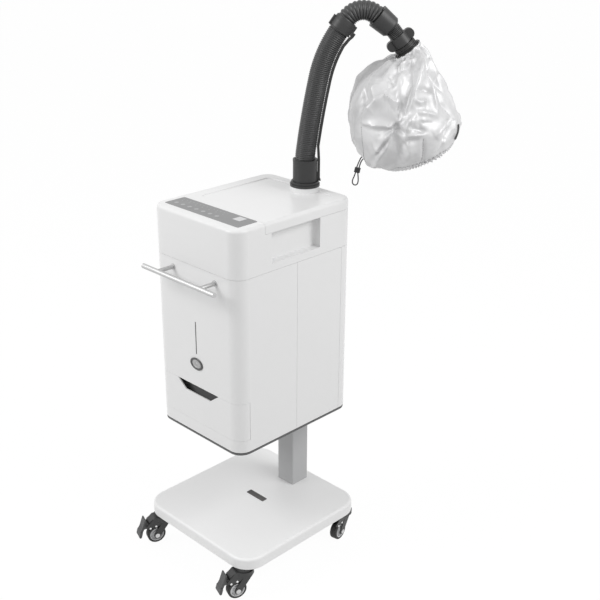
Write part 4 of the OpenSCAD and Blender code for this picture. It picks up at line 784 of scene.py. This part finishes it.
def creases(grid, folds, widen, lift, sharp):
    """How far lines of folds push each point of the bonnet out or in, in metres."""
    out = np.zeros(grid.shape[:2])
    for height, width, *places in folds:
        d, t = distance_to_line(grid, [cloth_point(*place) for place in places])
        ends = np.sqrt(np.clip(4 * t * (1 - t) + 0.12, 0, 1))
        out += lift * height * MM * np.exp(-(d / (widen * width * MM)) ** sharp) * ends
    return out


def stray_creases(count, seed):
    """Short creases strewn over the cloth: height, half width and two or three places each."""
    chance = random.Random(seed)
    found = []
    for _ in range(count):
        k, a = chance.uniform(0.8, 8.2), chance.uniform(0, 360)
        dk, da = chance.uniform(-0.9, 0.9), chance.uniform(-14, 14)
        bend = chance.uniform(-4, 4)
        height = chance.choice((-1, 1)) * chance.uniform(1.2, 3.4)
        width = chance.uniform(3, 5.5)
        found.append((height, width, (k, a), (k + dk / 2, a + da / 2 + bend), (k + dk, a + da)))
    return found


def crumple(grid):
    """Small uneven facets over the whole cloth, in metres."""
    out = np.zeros(grid.shape[:2])
    for place in np.ndindex(*out.shape):
        point = Vector(grid[place]) * FACET_SCALE
        facet = noise.ridged_multi_fractal(point, 0.9, 2.1, 3, 1.0, 2.0, noise_basis="PERLIN_ORIGINAL")
        out[place] = facet - 1.2
    return FACET_HEIGHT * out


def relax(piece, held):
    """Lets the cloth, cut a little too large, find its own wrinkles, and caps how far a point may move."""
    before = np.array([point.co[:] for point in piece.data.vertices])
    group = piece.vertex_groups.new(name="held")
    for level in sorted(set(held)):
        group.add([int(i) for i in np.flatnonzero(held == level)], float(level), "REPLACE")
    cloth = add_modifier(piece, "CLOTH")
    for name, value in CLOTH.items():
        setattr(cloth.settings, name, value)
    cloth.collision_settings.use_collision = False
    for number in range(1, CLOTH_FRAMES + 1):
        bpy.context.scene.frame_set(number)
    apply_all(piece)
    bpy.context.scene.frame_set(1)
    piece.vertex_groups.clear()
    after = np.array([point.co[:] for point in piece.data.vertices])
    step = after - before
    length = np.linalg.norm(step, axis=1, keepdims=True) + 1e-9
    after = before + step * np.minimum(1, CLOTH_CAP / length)
    piece.data.vertices.foreach_set("co", after.ravel())
    piece.data.update()


def sheet_mesh(name, grid):
    """A mesh of a grid of points that closes on itself sideways, with UVs in metres."""
    rows, columns = grid.shape[:2]
    world = [in_arm(*p) for p in grid.reshape(-1, 3)]
    faces = [(i * columns + j, i * columns + (j + 1) % columns, (i + 1) * columns + (j + 1) % columns,
              (i + 1) * columns + j) for i in range(rows - 1) for j in range(columns)]
    mesh = bpy.data.meshes.new(name)
    mesh.from_pydata(world, [], faces)
    uv = mesh.uv_layers.new(name="UVMap").data
    for face in mesh.polygons:
        i, j = divmod(face.index, columns)
        for loop, (di, dj) in zip(face.loop_indices, ((0, 0), (0, 1), (1, 1), (1, 0))):
            uv[loop].uv = (CLOTH_GIRTH * (j + dj) / columns, CLOTH_DROP * (i + di) / rows)
    mesh.update()
    piece = bpy.data.objects.new(name, mesh)
    bpy.context.scene.collection.objects.link(piece)
    return piece


def make_bonnet():
    """The gathered cloth: its main folds settle as cloth, then its fine creases and its hem are laid on."""
    grid = plain_bonnet()
    k, a = ring_and_angle(grid.shape)
    rows = np.arange(CLOTH_ROWS)[:, None]
    from_neck = np.clip(rows / 5, 0, 1)
    wide = (pleats(k, a) + creases(grid, FOLDS, widen=1.55, lift=1.25, sharp=1.3)) * from_neck
    piece = sheet_mesh("bonnet_cloth", grid + row_normals(grid) * wide[..., None])
    held = np.where((rows < PINNED_ROWS) | (rows >= CLOTH_ROWS - PINNED_ROWS), 1.0, LOOSE_HOLD)
    relax(piece, np.repeat(held, CLOTH_COLUMNS))
    settled = np.array([point.co[:] for point in piece.data.vertices]).reshape(*grid.shape)
    fine = (creases(grid, FOLDS, widen=0.75, lift=0.40, sharp=1.0)
            + creases(grid, stray_creases(STRAYS, STRAY_SEED), widen=1.0, lift=1.0, sharp=1.1)
            + crumple(grid))
    fine = fine * np.clip(rows / 10, 0, 1) * np.clip((9.1 - k) / 0.9, 0.25, 1) + hem(k, a)
    surface = settled + row_normals(settled) * fine[..., None]
    piece.data.vertices.foreach_set("co", surface.ravel())
    piece.data.update()
    settle(piece, angle=70)
    surface = np.array([point.co[:] for point in piece.data.vertices]).reshape(*grid.shape)
    add_modifier(piece, "SOLIDIFY", thickness=CLOTH_WALL, offset=-1)
    apply_all(piece)
    name_piece(piece, "bonnet_cloth", "hood", finishes["silver_cloth"])
    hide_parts("bonnet")
    make_bonnet_trim(surface)


# Trim on the bonnet: seams and strap as places (ring, angle)
SEAMS = [[(4.95, 215), (5.45, 215), (6.30, 210), (7.20, 197), (8.30, 190)],
         [(5.95, 279), (6.50, 276), (7.20, 273), (8.30, 267)],
         [(1.20, 100), (3.00, 98), (5.00, 96), (7.00, 95), (8.30, 95)],
         [(1.20, 10), (3.00, 8), (5.00, 8), (7.00, 6), (8.30, 5)]]
STITCH, STITCH_RADIUS, STITCH_STEP = 2.6 * MM, 0.45 * MM, 4.6 * MM
STRAP = [(6.15, 331), (6.60, 330), (7.05, 329), (7.50, 328), (7.95, 328)]
STRAP_WIDTH, STRAP_THICKNESS, STRAP_LIFT = 9 * MM, 1.4 * MM, 1.8 * MM
ELASTIC_RING, ELASTIC_RADIUS, ELASTIC_LIFT = 0.10, 1.5 * MM, 0.6 * MM


def on_cloth(surface, k, angle):
    """A point of the finished cloth and its outward direction."""
    row = min(max(k / LAST_RING * (CLOTH_ROWS - 1), 1), CLOTH_ROWS - 2.001)
    column = (angle % 360) / 360 * CLOTH_COLUMNS
    i, j = int(row), int(column)
    u, v = row - i, column - j
    here, below, beside, across = (Vector(surface[i + di, (j + dj) % CLOTH_COLUMNS])
                                   for di, dj in ((0, 0), (1, 0), (0, 1), (1, 1)))
    point = (here * (1 - u) + below * u) * (1 - v) + (beside * (1 - u) + across * u) * v
    outward = (below - here).cross(beside - here).normalized()
    centre = ring_row(min(k, LAST_RING - 0.001))[0]
    middle = in_arm(BONNET_TOP[0] + centre[0], 0, BONNET_TOP[1] + centre[1])
    return point, outward if outward.dot(point - middle) > 0 else -outward


def line_on_cloth(surface, places, step):
    """Evenly spaced points with their outward directions along a line on the cloth."""
    dense = []
    for (k0, a0), (k1, a1) in zip(places, places[1:]):
        dense += [on_cloth(surface, k0 + (k1 - k0) * i / 40, a0 + (a1 - a0) * i / 40) for i in range(40)]
    chosen, run = [dense[0]], 0.0
    for before, here in zip(dense, dense[1:]):
        run += (here[0] - before[0]).length
        if run >= step:
            chosen.append(here)
            run = 0.0
    return chosen


def make_stitches(surface):
    """One short raised stitch, repeated along the seams and round the hem's casing."""
    deselect()
    bpy.ops.mesh.primitive_cylinder_add(vertices=6, radius=STITCH_RADIUS, depth=STITCH,
                                        end_fill_type="TRIFAN")
    stitch = bpy.context.object
    start_edit(stitch, "VERT")
    bpy.ops.mesh.select_all(action="SELECT")
    bpy.ops.transform.resize(value=(1.3, 0.8, 1), center_override=(0, 0, 0))
    bpy.ops.mesh.bevel(offset=0.12 * MM, segments=1)
    settle(stitch)
    casing = [(CASING_RING, angle) for angle in range(0, 361, 12)]
    places = []
    for line in [*SEAMS, casing]:
        row = line_on_cloth(surface, line, STITCH_STEP)
        for (point, outward), (after, _) in zip(row, row[1:]):
            run = (after - point).normalized()
            side = run.cross(outward).normalized()
            turn = Matrix((side, side.cross(run) * -1, run)).transposed().to_4x4()
            places.append(Matrix.Translation(point + outward * 0.35 * MM) @ turn)
    repeat(stitch, places)
    return name_piece(stitch, "bonnet_stitches", "hood", finishes["thread"])


def make_strap(surface):
    """A flat black tab sewn on the bonnet's side."""
    row = line_on_cloth(surface, STRAP, 3 * MM)
    shape = bmesh.new()
    pairs = []
    for i, (point, outward) in enumerate(row):
        run = (row[min(i + 1, len(row) - 1)][0] - row[max(i - 1, 0)][0]).normalized()
        side = run.cross(outward).normalized() * STRAP_WIDTH / 2
        raised = point + outward * STRAP_LIFT
        pairs.append([shape.verts.new(raised + side * t) for t in (-1, -0.33, 0.33, 1)])
    for one, other in zip(pairs, pairs[1:]):
        for i in range(3):
            shape.faces.new((one[i], one[i + 1], other[i + 1], other[i]))
    mesh = bpy.data.meshes.new("strap")
    shape.to_mesh(mesh)
    shape.free()
    strap = bpy.data.objects.new("strap", mesh)
    bpy.context.scene.collection.objects.link(strap)
    settle(strap)
    add_modifier(strap, "SOLIDIFY", thickness=STRAP_THICKNESS, offset=0)
    add_modifier(strap, "SUBSURF", levels=1, render_levels=1)
    apply_all(strap)
    return name_piece(strap, "bonnet_strap", "hood", finishes["strap_black"])


def make_neck_elastic(surface):
    """The black elastic that draws the cloth in under the neck ring."""
    row = [on_cloth(surface, ELASTIC_RING, angle) for angle in range(0, 361, 6)]
    path = [point + outward * ELASTIC_LIFT for point, outward in row]
    elastic = tube("neck_elastic", path, ELASTIC_RADIUS, sides=10, closed_ends=False)
    settle(elastic, angle=80)
    return name_piece(elastic, "neck_elastic", "hood", finishes["rubber"])


def make_bonnet_trim(surface):
    """All that is sewn on the cloth and moves with it."""
    return [make_stitches(surface), make_strap(surface), make_neck_elastic(surface)]


# Small rigid pieces, in millimetres
FRONT_FACE = Matrix.Rotation(math.radians(90), 4, "X")
# Badge: the front's plane, its height, how far it is sunk, and the oval that its discs are drawn out to
FRONT_Y = -175
BADGE_Z = 583
BADGE_SUNK = 0.1
BADGE_OVAL = (1.30, 0.88, 1, 1)
RIM_RADIUS, FACE_RADIUS = 17.5, 12.2
# Label: its two corners on the base, from above
LABEL = ((-34, 8), (29, 25))
# Panel: the row of keys, and the two rows of lamps as (y, places across)
KEYS = range(-108, 37, 24)
KEY_Y = -131
LAMP_ROWS = [(-113, KEYS), (-103, range(-114, 50, 12))]
# Drawer cheeks and the lining of the finger trough: (from, to) along each axis
CHEEK_X, CHEEK_Y, CHEEK_Z = (146.6, 150), (-147.4, -141.5), (424.3, 521.8)
TROUGH_LOW, TROUGH_HIGH = (-112, -171.6, 436), (112, -150.4, 521.4)
# Casters: where each stands and how far its fork is turned, then the rivets on a fork's cheek as (y, z)
STEMS = [(-162, -180, -20), (162, -180, -20), (-162, 180, 10), (162, 180, 10)]
RIVETS = [(-24, 54.5), (-40, 52)]
CHEEK_OUT = 14.5
# Band of the top clamp
BAND_RADIUS, BAND_HEIGHT, BAND_WALL = 26.7, 3.2, 0.9


def repeat(piece, places):
    """Puts a copy of a finished piece at each place, all in one mesh."""
    shape = bmesh.new()
    for place in places:
        one = piece.data.copy()
        one.transform(place)
        shape.from_mesh(one)
        bpy.data.meshes.remove(one)
    shape.to_mesh(piece.data)
    shape.free()
    piece.data.update()
    return piece


def add_block(low, high):
    """A block between two corners."""
    deselect()
    bpy.ops.mesh.primitive_cube_add(size=1, location=[(a + b) / 2 * MM for a, b in zip(low, high)])
    block = bpy.context.object
    block.scale = [(b - a) * MM for a, b in zip(low, high)]
    bpy.ops.object.transform_apply(location=True, rotation=True, scale=True)
    return block


def add_disc(radius, height, sides):
    """A disc that stands on the ground plane."""
    deselect()
    bpy.ops.mesh.primitive_cylinder_add(vertices=sides, radius=radius * MM, depth=height * MM,
                                        location=(0, 0, height / 2 * MM))
    disc = bpy.context.object
    bpy.ops.object.transform_apply(location=True, rotation=True, scale=True)
    return disc


def step_top(piece, *steps):
    """Insets the top face again and again, by (width, lift), moving what is inside up or down."""
    start_edit(piece, "FACE")
    top = max(point.co.z for point in piece.data.vertices)
    pick_faces(piece, lambda centre, normal: normal.z > 0.9 and centre.z > top - 0.05 * MM)
    for width, lift in steps:
        inset_and_move(width * MM, (0, 0, lift * MM))


def round_edges(piece, width, segments=2):
    """Rounds a piece's sharp edges."""
    add_modifier(piece, "BEVEL", width=width * MM, segments=segments, limit_method="ANGLE",
                 angle_limit=math.radians(30))
    apply_all(piece)


def make_badge():
    """A dark domed oval rim with a bare brushed face set in it."""
    middle = Vector((0, (FRONT_Y - BADGE_SUNK) * MM, BADGE_Z * MM))
    place = Matrix.Translation(middle) @ FRONT_FACE @ Matrix.Diagonal(BADGE_OVAL)
    rim = add_disc(RIM_RADIUS, 1.6, 64)
    step_top(rim, (0.5, 0.5), (0.8, 0.35), (3.4, 0), (0.4, -1.2))
    round_edges(rim, 0.25)
    name_piece(settle(rim, place), "badge_rim", "root", finishes["badge_dark"])
    face = add_disc(FACE_RADIUS, 1.45, 64)
    step_top(face, (0.8, 0.25), (3.2, 0.1), (0.5, -0.35), (4.5, -0.05), (0.4, 0.4))
    round_edges(face, 0.12)
    name_piece(settle(face, place), "badge_face", "root", finishes["badge_pale"])


def make_label():
    """A bare dark plate on the base, with a thin raised rim."""
    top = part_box("base_plate")[1][2] / MM
    plate = add_block((*LABEL[0], top + 0.02), (*LABEL[1], top + 0.9))
    start_edit(plate, "EDGE")
    pick_edges(plate, lambda a, b: abs(a.z - b.z) > 0.5 * MM)
    bpy.ops.mesh.bevel(offset=2.2 * MM, segments=4)
    bpy.ops.object.mode_set(mode="OBJECT")
    step_top(plate, (0.9, 0), (0.25, -0.3))
    round_edges(plate, 0.12)
    name_piece(settle(plate), "base_label", "root", finishes["label_dark"])


def make_panel_keys():
    """Seven raised key pads and two rows of small lamps on the membrane panel."""
    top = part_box("control_panel")[1][2]
    pad = add_disc(5.4, 0.35, 28)
    step_top(pad, (0.5, 0.15), (0.7, 0), (0.35, -0.2), (2.2, 0.12))
    settle(pad)
    repeat(pad, [Matrix.Translation(Vector((x * MM, KEY_Y * MM, top))) for x in KEYS])
    name_piece(pad, "panel_keys", "root", finishes["key_mark"])
    lamp = add_disc(1.7, 0.3, 14)
    step_top(lamp, (0.4, 0.15))
    settle(lamp)
    repeat(lamp, [Matrix.Translation(Vector((x * MM, y * MM, top))) for y, row in LAMP_ROWS for x in row])
    name_piece(lamp, "panel_lamps", "root", finishes["key_mark"])


def make_drawer_trim():
    """The drawer front's two narrow cheeks, and the dark lining of the finger trough behind its notch."""
    for side, name in ((-1, "left"), (1, "right")):
        ends = sorted(side * x for x in CHEEK_X)
        cheek = add_block((ends[0], CHEEK_Y[0], CHEEK_Z[0]), (ends[1], CHEEK_Y[1], CHEEK_Z[1]))
        start_edit(cheek, "EDGE")
        pick_edges(cheek, lambda a, b: min(abs(a.x), abs(b.x)) > 149 * MM and max(a.y, b.y) < -147 * MM
                   and abs(a.z - b.z) > 50 * MM)
        bpy.ops.transform.translate(value=(-side * 0.56 * MM, 0, 0))
        bpy.ops.object.mode_set(mode="OBJECT")
        round_edges(cheek, 0.2, 1)
        name_piece(settle(cheek), "drawer_cheek_" + name, "drawer", finishes["white_shell"])
    lining = add_block(TROUGH_LOW, TROUGH_HIGH)
    step_top(lining, (1.0, 0), (0.01, -82))
    pick_edges(lining, lambda a, b: max(a.y, b.y) < -170.2 * MM and min(a.z, b.z) > 520 * MM)
    bpy.ops.mesh.select_mode(type="EDGE")
    bpy.ops.transform.translate(value=(0, 0, -25 * MM))
    bpy.ops.object.mode_set(mode="OBJECT")
    name_piece(settle(lining), "trough_lining", "drawer", finishes["notch_dark"])


def make_rivets():
    """Domed rivet heads, two on each side of every fork."""
    for number, (x, y, turn) in enumerate(STEMS, 1):
        rivet = add_disc(3.1, 0.7, 24)
        step_top(rivet, (0.5, 0.5), (0.8, 0.3), (0.9, 0.1))
        settle(rivet, angle=60)
        fork = Matrix.Translation(Vector((x * MM, y * MM, 0))) @ Matrix.Rotation(math.radians(turn), 4, "Z")
        places = []
        for side in (-1, 1):
            lie = Matrix.Rotation(math.radians(side * 90), 4, "Y")
            for back, up in RIVETS:
                spot = Vector((side * CHEEK_OUT * MM, back * MM, up * MM))
                places.append(fork @ Matrix.Translation(spot) @ lie)
        repeat(rivet, places)
        name_piece(rivet, "fork_rivets_%d" % number, "caster_%d" % number, finishes["chrome"])


def make_clamp_band():
    """A thin dark band round the top clamp's lower edge."""
    deselect()
    bpy.ops.mesh.primitive_cylinder_add(vertices=64, radius=BAND_RADIUS * MM, depth=BAND_HEIGHT * MM,
                                        end_fill_type="NOTHING")
    band = bpy.context.object
    start_edit(band, "EDGE")
    bpy.ops.mesh.select_all(action="SELECT")
    bpy.ops.mesh.subdivide(number_cuts=1)
    settle(band, arm_frame(arm_at(4, 0.08), BAND_HEIGHT / 2 * MM))
    add_modifier(band, "SOLIDIFY", thickness=BAND_WALL * MM, offset=1)
    apply_all(band)
    round_edges(band, 0.25, 1)
    name_piece(band, "clamp_band", "arm", finishes["strap_black"])


bpy.context.scene.view_settings.view_transform = "Standard"
set_camera()
set_room()
for name, place, power, size in LAMPS:
    set_lamp(name, place, LAMP_AIM, power, size)
set_floor()
dress_nodes()
make_drawcord()
make_hoses()
make_bonnet()
make_badge()
make_label()
make_panel_keys()
make_drawer_trim()
make_rivets()
make_clamp_band()
